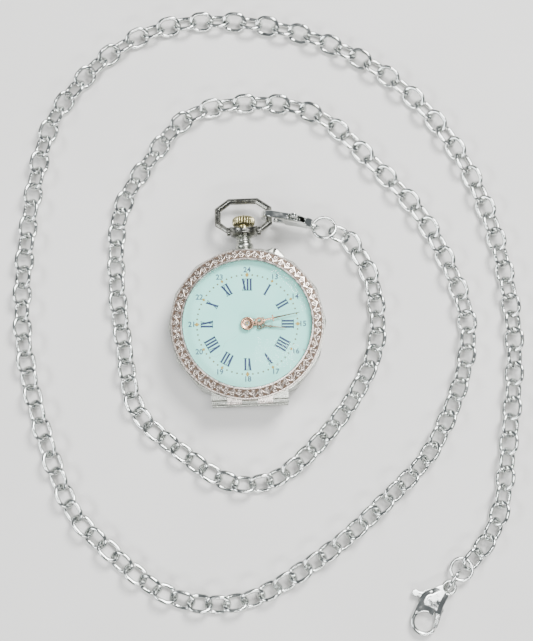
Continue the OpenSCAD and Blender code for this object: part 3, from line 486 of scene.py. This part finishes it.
def along(points):
    """Distance along the route at each point, and functions for the place and heading there."""
    s = [0.0]
    for a, b in zip(points, points[1:]):
        s.append(s[-1] + (b - a).length)
    xs, ys = [p.x for p in points], [p.y for p in points]

    def at(d):
        return Vector((float(np.interp(d, s, xs)), float(np.interp(d, s, ys))))

    def heading(d):
        step = at(d + 1) - at(d - 1)
        return math.atan2(step.y, step.x)

    return s[-1], at, heading


def link_shape(length, width, wire, arc=14, straight=3, sides=12):
    """An oval link in XY, of wire that is a little square."""
    r, half = (width - wire) / 2, (length - width) / 2
    line = []
    for end in (1, -1):
        for k in range(arc + 1):
            a = math.radians(-90 + 180 * k / arc)
            line.append((end * (half + r * math.cos(a)), end * r * math.sin(a),
                         math.cos(a) * end, math.sin(a) * end))
        for k in range(1, straight):
            line.append((end * half * (1 - 2 * k / straight), end * r, 0, end))
    verts = []
    for x, y, nx, ny in line:
        for s in range(sides):
            b = 2 * math.pi * s / sides
            c, d = math.cos(b), math.sin(b)
            w = wire / 2 / (abs(c) ** 2.2 + abs(d) ** 2.2) ** (1 / 2.2) * 0.99
            verts.append((x + w * c * nx, y + w * c * ny, w * d))
    return verts, grid_faces(len(line), sides, close_rows=True)


def link_place(centre, heading, roll):
    return (Matrix.Translation(centre) @ Matrix.Rotation(heading, 4, "Z")
            @ Matrix.Rotation(math.radians(roll), 4, "X"))


def make_chain():
    """Links along the route, rolled to one side and the other by turns, a little unevenly."""
    points = route()
    length, at, heading = along(points)
    count = int(length // LINK_PITCH) + 1
    shape, faces = link_shape(LINK_L, LINK_W, LINK_WIRE)
    parts = []
    for i in range(count):
        d = i * LINK_PITCH
        loose = 2.5 * math.sin(2.1 * i) + 1.5 * math.sin(0.7 * i + 1)
        roll = (LINK_ROLL if i % 2 == 0 else -LINK_ROLL) + loose
        place = link_place(Vector((*at(d), LINK_Z)), heading(d), roll)
        parts.append((moved(shape, place), faces))
    verts, faces = joined(parts)
    chain = add_mesh("chain_links", verts, faces, MATERIALS["chain_silver"], "chain_silver", "case")
    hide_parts("chain_inner_turn", "chain_middle_turn", "chain_outer_turn",
                "chain_end_turn")
    return chain, [tuple(Vector((*p, LINK_Z)) * MM) for p in points], length


def make_connecting_link():
    """The one link between the ring at the bow and the chain, where the closed loop is opened."""
    ring = middle("bow_jump_ring")
    step = Vector((*CHAIN[0], LINK_Z)) - ring
    centre = ring + step * 0.52 + Vector((0.2, 0.4, 0))
    shape, faces = link_shape(LINK_L - 0.5, LINK_W, 0.95)
    place = link_place(centre, math.atan2(step.y, step.x), -LINK_ROLL + 6)
    add_mesh("chain_connecting_link", moved(shape, place), faces, MATERIALS["chain_silver"],
             "chain_silver", "case")


# ---------------------------------------------------------------- rings and clasps

# Half thickness of the lever's gap and of the whole clasp, and where its eye begins
LEVER_HALF = 0.52
CLASP_HALF = 1.1
CLASP_EYE_X = 8.2
CLASP_HOLE_R = 2.3
CLASP_CHEEKS = (((0, 0), 3.2, (5, 0.6), 2.9), ((4.9, 0.5), 2.8, (8.2, -0.6), 1.7))
RING_WIRE = 0.85


def clasp_depth(x, y):
    """How deep a point lies inside the clasp's outline, with the hook's hole left out."""
    depth = 0.0
    for (px, py), pr, (qx, qy), qr in CLASP_CHEEKS:
        for k in range(17):
            t = k / 16
            gap = math.hypot(x - px - (qx - px) * t, y - py - (qy - py) * t)
            depth = max(depth, pr + (qr - pr) * t - gap)
    return max(0.0, min(depth, math.hypot(x, y) - CLASP_HOLE_R))


def make_clasp(node, place):
    """The clasp's casting, with cheeks that swell towards their middle and a round hook."""
    clasp = softened(node, 0.1, 8)
    back = place.inverted()
    for vertex in clasp.data.vertices:
        p = back @ in_mm(vertex.co)
        if p.x > CLASP_EYE_X:
            continue
        swell = min(1, max(0, (p.x - 1.5) / 2.5))
        u = min(1.0, clasp_depth(p.x, p.y) / (0.5 + 2.0 * swell))
        share = (0.5 + 0.5 * swell) * math.sqrt(1 - (1 - u) ** 2)
        if abs(p.z) > LEVER_HALF:
            share = LEVER_HALF + 0.08 + (abs(p.z) - LEVER_HALF) * share
            p.z = math.copysign(min(share, CLASP_HALF), p.z)
        vertex.co = (place @ p) * MM
    return clasp


def make_end_rings():
    """The round ring at the free end, and the link that stands on edge beside it."""
    ring, faces = torus(2.6, RING_WIRE)
    place = Matrix.Translation(middle("end_jump_ring")) @ Matrix.Rotation(math.radians(-4), 4, "X")
    jump = add_mesh("end_ring_round", moved(ring, place), faces, MATERIALS["chain_silver"],
                    "chain_silver", "case")
    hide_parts("end_jump_ring")
    link, faces = link_shape(5.6, 4, RING_WIRE)
    place = link_place(middle("end_link"), math.radians(54), 75)
    edge = add_mesh("end_link_on_edge", moved(link, place), faces, MATERIALS["chain_silver"],
                    "chain_silver", "case")
    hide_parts("end_link")
    return [jump, edge]


def make_bow_ring():
    """Ring whose far side is twisted wire."""
    def twist(a, b):
        far = max(0.0, math.sin(a - 0.15)) ** 0.5
        return 1 - 0.16 * far * (0.5 + 0.5 * math.cos(2 * b + 34 * a))
    ring, faces = torus(2.8, RING_WIRE, 220, 16, twist)
    place = Matrix.Translation(middle("bow_jump_ring")) @ Matrix.Rotation(math.radians(-12), 4, "X")
    piece = add_mesh("bow_ring_twisted", moved(ring, place), faces, MATERIALS["chain_silver"],
                     "chain_silver", "bow")
    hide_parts("bow_jump_ring")


# ---------------------------------------------------------------- case

FOLIAGE_CELLS = 32
CELL_STEPS = 52
BAND_STEPS = 26


def foliage_strokes(length, half):
    """Lines of one stretch of running foliage, each with its half width: a wave, curls and leaves."""
    def wave(u):
        return 0.42 * half * math.sin(2 * math.pi * u / length)
    strokes = [([(length * k / 40, wave(length * k / 40)) for k in range(-6, 47)], 0.13)]
    for side, start in ((1, 0.27), (-1, 0.77)):
        centre = (start * length, -side * 0.22 * half)
        curl = []
        for k in range(25):
            t = k / 24
            a = math.radians(90 + 470 * t) * side
            r = half * (0.62 - 0.5 * t)
            curl.append((centre[0] + r * math.cos(a), centre[1] + r * math.sin(a)))
        strokes.append((curl, 0.11))
        for k, tilt in enumerate((-62, -28, 12, 50)):
            u = (start - 0.2 + 0.13 * k) * length
            a = math.radians(90 + tilt) * side
            reach = 0.46 * half
            strokes.append(([(u + reach * t * math.cos(a) + 0.06 * math.sin(3 * t),
                              wave(u) + reach * t * math.sin(a) * 1.2)
                             for t in (0, 0.35, 0.7, 1)], 0.17 - 0.012 * k))
        for u, v in ((start + 0.42, 0.78), (start + 0.56, 0.70), (start + 0.02, 0.84)):
            dot = ((u % 1) * length, side * v * half)
            strokes.append(([dot, (dot[0] + 0.12, dot[1])], 0.13))
    return strokes


def foliage_relief(length, half):
    """Height from 0 to 1 over one cell, along by across."""
    us = (np.arange(CELL_STEPS) / CELL_STEPS * length)[:, None]
    vs = np.linspace(-half, half, BAND_STEPS)[None, :]
    height = np.zeros((CELL_STEPS, BAND_STEPS))
    for line, width in foliage_strokes(length, half):
        for shift in (-length, 0, length):
            for (ax, ay), (bx, by) in zip(line, line[1:]):
                ax2, bx2 = ax + shift, bx + shift
                d2 = (bx2 - ax2) ** 2 + (by - ay) ** 2 + 1e-9
                t = np.clip(((us - ax2) * (bx2 - ax2) + (vs - ay) * (by - ay)) / d2, 0, 1)
                gap = np.hypot(us - ax2 - t * (bx2 - ax2), vs - ay - t * (by - ay))
                height = np.maximum(height, np.clip(1.6 - gap / width, 0, 1))
    return height


def make_bezel_engraving():
    """Band of cut foliage that lies on the bezel's slope, between its two bright rims."""
    inner, outer = BEZEL_IN + 0.62, BEZEL_R - 0.40
    z_in, z_out = BEZEL_HIGH.z - 0.25, BEZEL_HIGH.z - 0.71
    half = (outer - inner) / 2
    length = 2 * math.pi * (inner + outer) / 2 / FOLIAGE_CELLS
    relief = foliage_relief(length, half)
    around = FOLIAGE_CELLS * CELL_STEPS
    verts, values = [], []
    for k in range(around):
        a = 2 * math.pi * k / around
        column = relief[k % CELL_STEPS]
        for j in range(BAND_STEPS):
            t = j / (BAND_STEPS - 1)
            r = inner + (outer - inner) * t
            rim = min(1.0, min(j, BAND_STEPS - 1 - j) / 2)
            z = z_in + (z_out - z_in) * t + 0.02 + 0.14 * column[j] * rim
            verts.append((r * math.cos(a), r * math.sin(a), z))
            values.append(float(column[j] * rim))
        for r, z in ((outer, z_out - 0.1), (inner, z_in - 0.1)):
            verts.append((r * math.cos(a), r * math.sin(a), z))
            values.append(0.0)
    faces = grid_faces(around, BAND_STEPS + 2, close_rows=True)
    band = add_mesh("bezel_foliage", verts, faces, ENGRAVED, "bezel_rose", "bezel")
    set_relief(band, verts, values)


CROWN_RIBS = 24
RIB_DEPTH = 0.3


def make_crown():
    """Onion crown with cut ribs, dark at the bottom of each cut."""
    profile = [(1.3, -1.2), (1.3, -0.05), (2.2, 0), (2.55, 0.12), (2.76, 0.4), (CROWN_R, 0.75),
               (CROWN_R, 1.35), (2.7, 1.7), (2.4, 2.0), (1.9, 2.25), (1.2, 2.38), (0.02, CROWN_H),
               (0.02, -1.2)]

    def cut(a):
        return (0.5 + 0.5 * math.cos(CROWN_RIBS * a)) ** 1.2

    def ribbed(r, z, a):
        depth = RIB_DEPTH * max(0.0, min(1.0, (r - 1.5) / 0.9)) * (1 if z > 0.05 else 0)
        return r - depth * cut(a)
    verts, faces = lathe(profile, CROWN_RIBS * 10, ribbed)
    values = []
    for x, y, z in verts:
        outer = max(0.0, min(1.0, (math.hypot(x, y) - 1.2) / 0.8))
        values.append(1 - cut(math.atan2(y, x)) * outer)
    place = Matrix.Translation((0, CROWN_Y, STEM_Z)) @ Matrix.Rotation(math.radians(-90), 4, "X")
    verts = moved(verts, place)
    crown = add_mesh("crown_ribbed", verts, faces, CUT_BRASS, "crown_brass", "crown")
    set_relief(crown, verts, values)
    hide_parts("crown")


BOW_BAR = 1.45
BOW_HALF, BOW_REACH = 7.05, 9.45
BOW_DROOP = 18


def make_bow():
    """Faceted bar bent to a long octagon, with round ears at the pivot."""
    half, reach = BOW_HALF - BOW_BAR / 2, BOW_REACH - BOW_BAR / 2
    side = [(4.0, 0.2), (half, 2.2), (half, 6.3), (0.54 * half, reach)]
    path = [Vector(p) for p in side] + [Vector((-x, y)) for x, y in reversed(side)]
    section = [polar(1, 22.5 + 45 * k) for k in range(8)]
    size = BOW_BAR / 2 / math.cos(math.radians(22.5))
    verts = []
    for i, p in enumerate(path):
        before = (p - path[i - 1]).normalized() if i else None
        after = (path[i + 1] - p).normalized() if i < len(path) - 1 else None
        t = ((before or after) + (after or before)).normalized()
        stretch = 1 / t.dot(before or after)
        out = Vector((t.y, -t.x)) * stretch
        taper = 0.8 if i in (0, len(path) - 1) else 1
        for c, d in section:
            verts.append((p.x + out.x * c * size * taper, p.y + out.y * c * size * taper,
                          d * size * taper))
    faces = grid_faces(len(path), 8)
    faces += [tuple(range(7, -1, -1)), tuple(range(len(verts) - 8, len(verts)))]
    parts = [(verts, faces)]
    for x in (-1, 1):
        ear, ear_faces = lathe([(0.5, 0), (1.0, 0), (1.05, 0.1), (1.05, 0.72), (0.9, 0.85),
                                (0.5, 0.85)], 36)
        place = (Matrix.Translation((x * 3.35, 0, 0)) @ Matrix.Rotation(math.radians(90 * x), 4, "Y"))
        parts.append((moved(ear, place), ear_faces))
    verts, faces = joined(parts)
    place = (Matrix.Translation(BOW_PIVOT) @ Matrix.Rotation(math.radians(-BOW_DROOP), 4, "X"))
    bow = add_mesh("bow_faceted", moved(verts, place), faces, MATERIALS["dark_silver"],
                   "dark_silver", "bow", smooth=False)
    edge = bow.modifiers.new("edges", "BEVEL")
    edge.width = 0.06 * MM
    edge.segments = 2
    edge.limit_method = "ANGLE"
    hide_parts("bow")


# The cup is flat at the bow's ears, and its rim dips in front
CUP_FLAT = 3.3
CUP_RIM_Y, CUP_RIM_R, CUP_DIP = 23.3, 2.6, 0.75


def make_pendant():
    """Turned neck, and a darker cup whose rim dips in front of the crown."""
    y0 = 18.52
    neck = [(0.65, y0 - 0.3), (2.3, y0 - 0.3), (2.3, y0 + 0.25), (2.2, y0 + 0.45), (1.95, y0 + 0.6),
            (2.05, y0 + 0.75), (2.15, 19.6), (2.12, 20.1), (1.95, 20.4), (1.55, 20.6), (1.52, 20.8),
            (1.72, 20.95), (1.78, 21.15), (1.7, 21.35), (1.52, 21.5), (1.52, 21.65), (1.85, 21.8),
            (2.05, 22.0), (2.0, 22.3), (0.65, 22.3)]
    cup = [(0.65, 22.15), (1.95, 22.15), (2.5, 22.25), (3.1, 22.5), (3.42, 22.8), (3.52, 23.05),
           (3.42, 23.2), (3.38, 23.4), (3.45, 23.8), (3.55, 24.3), (3.5, 24.7), (3.38, 24.85),
           (3.15, 24.8), (2.95, 24.4), (2.9, 23.9), (2.2, 23.6), (0.65, 23.5)]
    place = Matrix.Translation((0, 0, STEM_Z)) @ Matrix.Rotation(math.radians(-90), 4, "X")
    for name, profile, slot in (("pendant_neck", neck, "case_silver"),
                                ("pendant_cup", cup, "dark_silver")):
        verts, faces = lathe(profile, 72)
        flat = []
        for x, y, z in verts:
            front = max(0.0, 1 - abs(x) / CUP_FLAT)
            if z > CUP_RIM_Y and math.hypot(x, y) > CUP_RIM_R:
                z -= (z - CUP_RIM_Y) * CUP_DIP * front ** 0.5
            flat.append((max(-CUP_FLAT, min(CUP_FLAT, x)), y, z))
        add_mesh(name, moved(flat, place), faces, MATERIALS[slot], slot, "case")
    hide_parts("pendant")


GUARD_IN, GUARD_OUT = 17.9, 19.8
GUARD_SLIT_AT, GUARD_SLIT_W = 67.8, 0.6


def make_guard():
    """Two sloping facets over the set pin, with a dark strip of painted shade on the floor of the slit between
    them.
    """
    high = box_mm("pusher_guard")[1]
    z0, z1 = high.z - 0.05, high.z + 0.45
    facets = []
    for start, end, r_start, r_end in ((75, 68.9, 18.75, GUARD_OUT), (66.9, 60, GUARD_OUT, 18.9)):
        inner = [polar(GUARD_IN, start), polar(GUARD_IN, end)]
        outer = [polar(r_end, end), polar(r_start, start)]
        foot = inner + outer
        top = [p * 0.985 for p in foot]
        verts = [(p.x, p.y, z0) for p in foot] + [(p.x, p.y, z1) for p in top[:2]]
        verts += [(p.x, p.y, z0 + 0.12) for p in outer]
        facets.append((verts, [(3, 2, 1, 0), (0, 1, 5, 4), (1, 2, 6, 5), (2, 3, 7, 6), (3, 0, 4, 7),
                               (4, 5, 6, 7)]))
    add_mesh("guard_facets", *joined(facets), MATERIALS["case_silver"], "case_silver", "case",
             smooth=False)
    # Painted shade: a dark silver strip on the slit's floor stands in for the shade inside the slit.
    slit = bar(polar(GUARD_IN + 0.05, GUARD_SLIT_AT), polar(GUARD_OUT + 0.1, GUARD_SLIT_AT),
               GUARD_SLIT_W, GUARD_SLIT_W, z0, z0 + 0.09)
    add_mesh("guard_slit_painted_shade", *slit, MATERIALS["dark_silver"], "dark_silver", "case", smooth=False)


# ---------------------------------------------------------------- dial

DIAL_Z = DIAL_TOP + 0.002
PAINT_T = 0.03
ROMAN_R, ROMAN_H = 9.7, 2.9
ARABIC_R, ARABIC_H = 13.3, 1.4
DOT_R = 12.1


def dial_angle(hour):
    return 90 - DIAL_TURN - 30 * hour


def roman_parts(text):
    """Strokes of a roman numeral, upright and centred on the origin."""
    h = ROMAN_H / 2
    thick, thin, serif = 0.46, 0.15, 0.13
    widths = {"I": 0.74, "V": 1.0, "X": 1.0}
    slant = 0.3
    x = -sum(widths[c] for c in text) / 2
    parts = []

    def foot(cx, y, w):
        parts.append(bar((cx - w / 2, y), (cx + w / 2, y), serif, serif, 0, PAINT_T))
    for c in text:
        w = widths[c]
        m = x + w / 2
        if c == "I":
            parts.append(bar((m, -h), (m, h), thick, thick, 0, PAINT_T))
            for y in (-h, h):
                foot(m, y * 0.97, 0.76)
        else:
            bottom = m if c == "V" else m + slant
            other = m if c == "V" else m - slant
            parts.append(bar((m - slant, h), (bottom, -h), thick, thick, 0, PAINT_T))
            parts.append(bar((m + slant, h), (other, -h), thin, thin, 0, PAINT_T + 0.003))
            foot(m - slant, h * 0.97, 0.6)
            foot(m + slant, h * 0.97, 0.4)
            if c == "X":
                foot(m + slant, -h * 0.97, 0.6)
                foot(m - slant, -h * 0.97, 0.4)
        x += w
    return joined(parts)


def make_romans():
    names = ["XII", "I", "II", "III", "IIII", "V", "VI", "VII", "VIII", "IX", "X", "XI"]
    parts = []
    for hour, name in enumerate(names):
        verts, faces = roman_parts(name)
        place = (Matrix.Translation((*polar(ROMAN_R, dial_angle(hour)), DIAL_Z))
                 @ Matrix.Rotation(math.radians(dial_angle(hour) - 90), 4, "Z"))
        parts.append((moved(verts, place), faces))
    add_mesh("dial_roman_hours", *joined(parts), NAVY, "enamel", "case", smooth=False)


def make_arabics():
    """The afternoon hours, from the built-in letterforms, upright round the edge of the dial."""
    parts = []
    for hour in range(1, 13):
        text = bpy.data.curves.new("number", "FONT")
        text.body = str(hour + 12)
        text.size = ARABIC_H * 1.28
        text.align_x = text.align_y = "CENTER"
        text.extrude = PAINT_T / 2
        text.offset = 0.035
        text.resolution_u = 3
        holder = bpy.data.objects.new("number", text)
        bpy.context.scene.collection.objects.link(holder)
        depsgraph = bpy.context.evaluated_depsgraph_get()
        data = bpy.data.meshes.new_from_object(holder.evaluated_get(depsgraph))
        p = polar(ARABIC_R, dial_angle(hour))
        turn = Matrix.Rotation(math.radians(-DIAL_TURN), 4, "Z")
        place = Matrix.Translation((*p, DIAL_Z + PAINT_T / 2)) @ turn
        parts.append((moved([v.co for v in data.vertices], place),
                      [tuple(f.vertices) for f in data.polygons]))
        bpy.data.objects.remove(holder)
        bpy.data.meshes.remove(data)
    add_mesh("dial_arabic_hours", *joined(parts), BLUE_GREY, "enamel", "case", smooth=False)


def make_minute_track():
    dots, diamonds = [], []
    for minute in range(60):
        a = 90 - DIAL_TURN - 6 * minute
        p = polar(DOT_R, a)
        if minute % 5:
            dots.append(disc(p, 0.21, DIAL_Z, DIAL_Z + PAINT_T, 0.01, 12))
        else:
            long, wide = (0.66, 0.5) if minute % 15 == 0 else (0.46, 0.38)
            outline = [polar(1, a) * long, polar(1, a + 90) * wide, polar(1, a + 180) * long,
                       polar(1, a + 270) * wide]
            diamonds.append(prism([p + q for q in outline], DIAL_Z, DIAL_Z + 0.07, 0.05))
    add_mesh("dial_minute_dots", *joined(dots), DOT_INK, "enamel", "case")
    add_mesh("dial_diamonds", *joined(diamonds), GOLD_PAINT, "gilt", "case", smooth=False)


def make_dial_wear():
    """A fine crack from the middle to the lower left, and a small chip by the four."""
    line = [polar(1.9 + 1.28 * k, 222 + 5 * math.sin(1.3 * k)) for k in range(9)]
    parts = [bar(a, b, 0.05, 0.045, DIAL_Z, DIAL_Z + 0.006) for a, b in zip(line, line[1:])]
    chip = polar(14.9, -27)
    outline = [chip + polar(0.26 + 0.1 * math.sin(2.3 * k), 40 * k) for k in range(9)]
    parts.append(prism(outline, DIAL_Z, DIAL_Z + 0.01))
    add_mesh("dial_crack", *joined(parts), CRACK_INK, "enamel", "case", smooth=False)


# ---------------------------------------------------------------- hands

def blade(x0, x1, w0, w1, z0, z1):
    """Blade with a ridge along its middle."""
    ridge = z1 + 0.05
    verts = [(x0, -w0, z0), (x1, -w1, z0), (x1, w1, z0), (x0, w0, z0),
             (x0, -w0, z1), (x1, -w1, z1), (x1, w1, z1), (x0, w0, z1), (x0, 0, ridge), (x1, 0, ridge)]
    faces = [(3, 2, 1, 0), (0, 1, 5, 4), (2, 3, 7, 6), (4, 5, 9, 8), (6, 7, 8, 9), (1, 2, 6, 9, 5),
             (3, 0, 4, 8, 7)]
    return verts, faces


def make_minute_hand():
    """Pierced hand of rings and a cross, under a dished boss."""
    z0, z1 = MINUTE_Z, MINUTE_Z + HAND_T
    parts = [annulus((0, 0), 1.3, 0.6, z0, z1, 48), annulus((2.95, 0), 0.92, 0.42, z0, z1 + 0.03),
             annulus((1.75, 0.42), 0.5, 0.2, z0, z1 + 0.02),
             annulus((1.75, -0.42), 0.5, 0.2, z0, z1 + 0.02),
             annulus((3.9, 0.36), 0.38, 0.13, z0, z1 + 0.02),
             annulus((3.9, -0.36), 0.38, 0.13, z0, z1 + 0.02),
             blade(3.8, 6.25, 0.25, 0.17, z0, z1), blade(6.35, 12.8, 0.2, 0.06, z0, z1),
             bar((6.3, -0.55), (6.3, 0.55), 0.34, 0.34, z0, z1 + 0.06, 0.03),
             disc((6.3, 0.58), 0.2, z0, z1 + 0.05, 0.03), disc((6.3, -0.58), 0.2, z0, z1 + 0.05, 0.03)]
    dish = [(0.6, 0), (1.6, 0), (1.6, 0.26), (1.52, 0.33), (1.36, 0.35), (1.18, 0.30), (0.98, 0.2),
            (0.6, 0.2)]
    verts, faces = lathe(dish, 64)
    parts.append((moved(verts, Matrix.Translation((0, 0, z0))), faces))
    hand = add_mesh("minute_hand_pierced", *turned_z(joined(parts), MINUTE_ANGLE),
                    MATERIALS["rose_gold"], "rose_gold", "minute_hand")
    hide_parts("minute_hand")


def make_hour_hand():
    """Pierced hand of three rings with a long blade."""
    z0, z1 = HOUR_Z, HOUR_Z + HAND_T
    parts = [annulus((0, 0), 1.45, 0.97, z0, z1, 48), blade(1.4, 2.75, 0.26, 0.24, z0, z1),
             annulus((3.05, 0.5), 0.62, 0.28, z0, z1 + 0.01),
             annulus((3.05, -0.5), 0.62, 0.28, z0, z1 + 0.02),
             annulus((3.8, 0), 0.6, 0.24, z0, z1 + 0.03), blade(4.2, 5.5, 0.26, 0.18, z0, z1),
             disc((5.6, 0), 0.36, z0, z1 + 0.05, 0.05), blade(5.8, 9.4, 0.22, 0.06, z0, z1)]
    hand = add_mesh("hour_hand_pierced", *turned_z(joined(parts), HOUR_ANGLE),
                    MATERIALS["hand_dark"], "hand_dark", "hour_hand")
    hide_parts("hour_hand")


# ---------------------------------------------------------------- floor and light

def make_floor():
    """Plain pale floor, just under the object."""
    data = bpy.data.meshes.new("floor")
    b = bmesh.new()
    bmesh.ops.create_grid(b, x_segments=4, y_segments=4, size=1.5)
    b.to_mesh(data)
    b.free()
    floor = bpy.data.objects.new("floor", data)
    floor.location.z = -0.0001
    m, nodes, links, shader = new_material("floor_pale", (0.72, 0.71, 0.69), 0, 0.75)
    links.new(ramp(nodes, links, noise(nodes, links, 25, 3),
                   [(0.3, (0.70, 0.69, 0.67)), (0.7, (0.74, 0.73, 0.71))]),
              shader.inputs["Base Color"])
    data.materials.append(m)
    bpy.context.scene.collection.objects.link(floor)


def area_light(name, place, size, power, color=(1, 1, 1)):
    data = bpy.data.lights.new(name, "AREA")
    data.shape = "RECTANGLE"
    data.size, data.size_y = size
    data.energy = power
    data.color = color
    light = bpy.data.objects.new(name, data)
    light.location = place
    light.rotation_euler = (-Vector(place)).to_track_quat("-Z", "Y").to_euler()
    bpy.context.scene.collection.objects.link(light)


def make_lights():
    area_light("key", (0.30, 0.38, 0.62), (0.30, 0.30), 11)
    area_light("fill", (-0.55, -0.15, 0.50), (0.45, 0.15), 4, (0.95, 0.98, 1))
    area_light("top", (0.10, -0.02, 0.60), (0.10, 0.16), 1.5)
    area_light("front", (0.15, -0.6, 0.45), (0.5, 0.08), 3)
    world = bpy.data.worlds.new("world")
    world.use_nodes = True
    world.node_tree.nodes["Background"].inputs["Color"].default_value = (0.9, 0.95, 1, 1)
    world.node_tree.nodes["Background"].inputs["Strength"].default_value = 0.22
    bpy.context.scene.world = world


# ---------------------------------------------------------------- making it all

make_camera()
chain, chain_path, chain_length = make_chain()
make_connecting_link()
end_rings = make_end_rings()
end_place = Matrix.Translation((39, -71.6, 1.1)) @ Matrix.Rotation(math.radians(58.8), 4, "Z")
end_clasp = make_clasp("end_clasp", end_place)
end_lever = softened("end_clasp_lever", 0.08, 8)

bow_place = (Matrix.Translation((7.5, 27.3, 4.8)) @ Matrix.Rotation(math.radians(-12.5), 4, "Z")
             @ Matrix.Rotation(math.radians(90), 4, "X"))
make_clasp("bow_clasp", bow_place)
softened("bow_clasp_lever", 0.08, 8)
make_bow_ring()
make_bow()
make_crown()
make_pendant()
make_guard()
make_bezel_engraving()
make_romans()
make_arabics()
make_minute_track()
make_dial_wear()
make_minute_hand()
make_hour_hand()
make_floor()
make_lights()
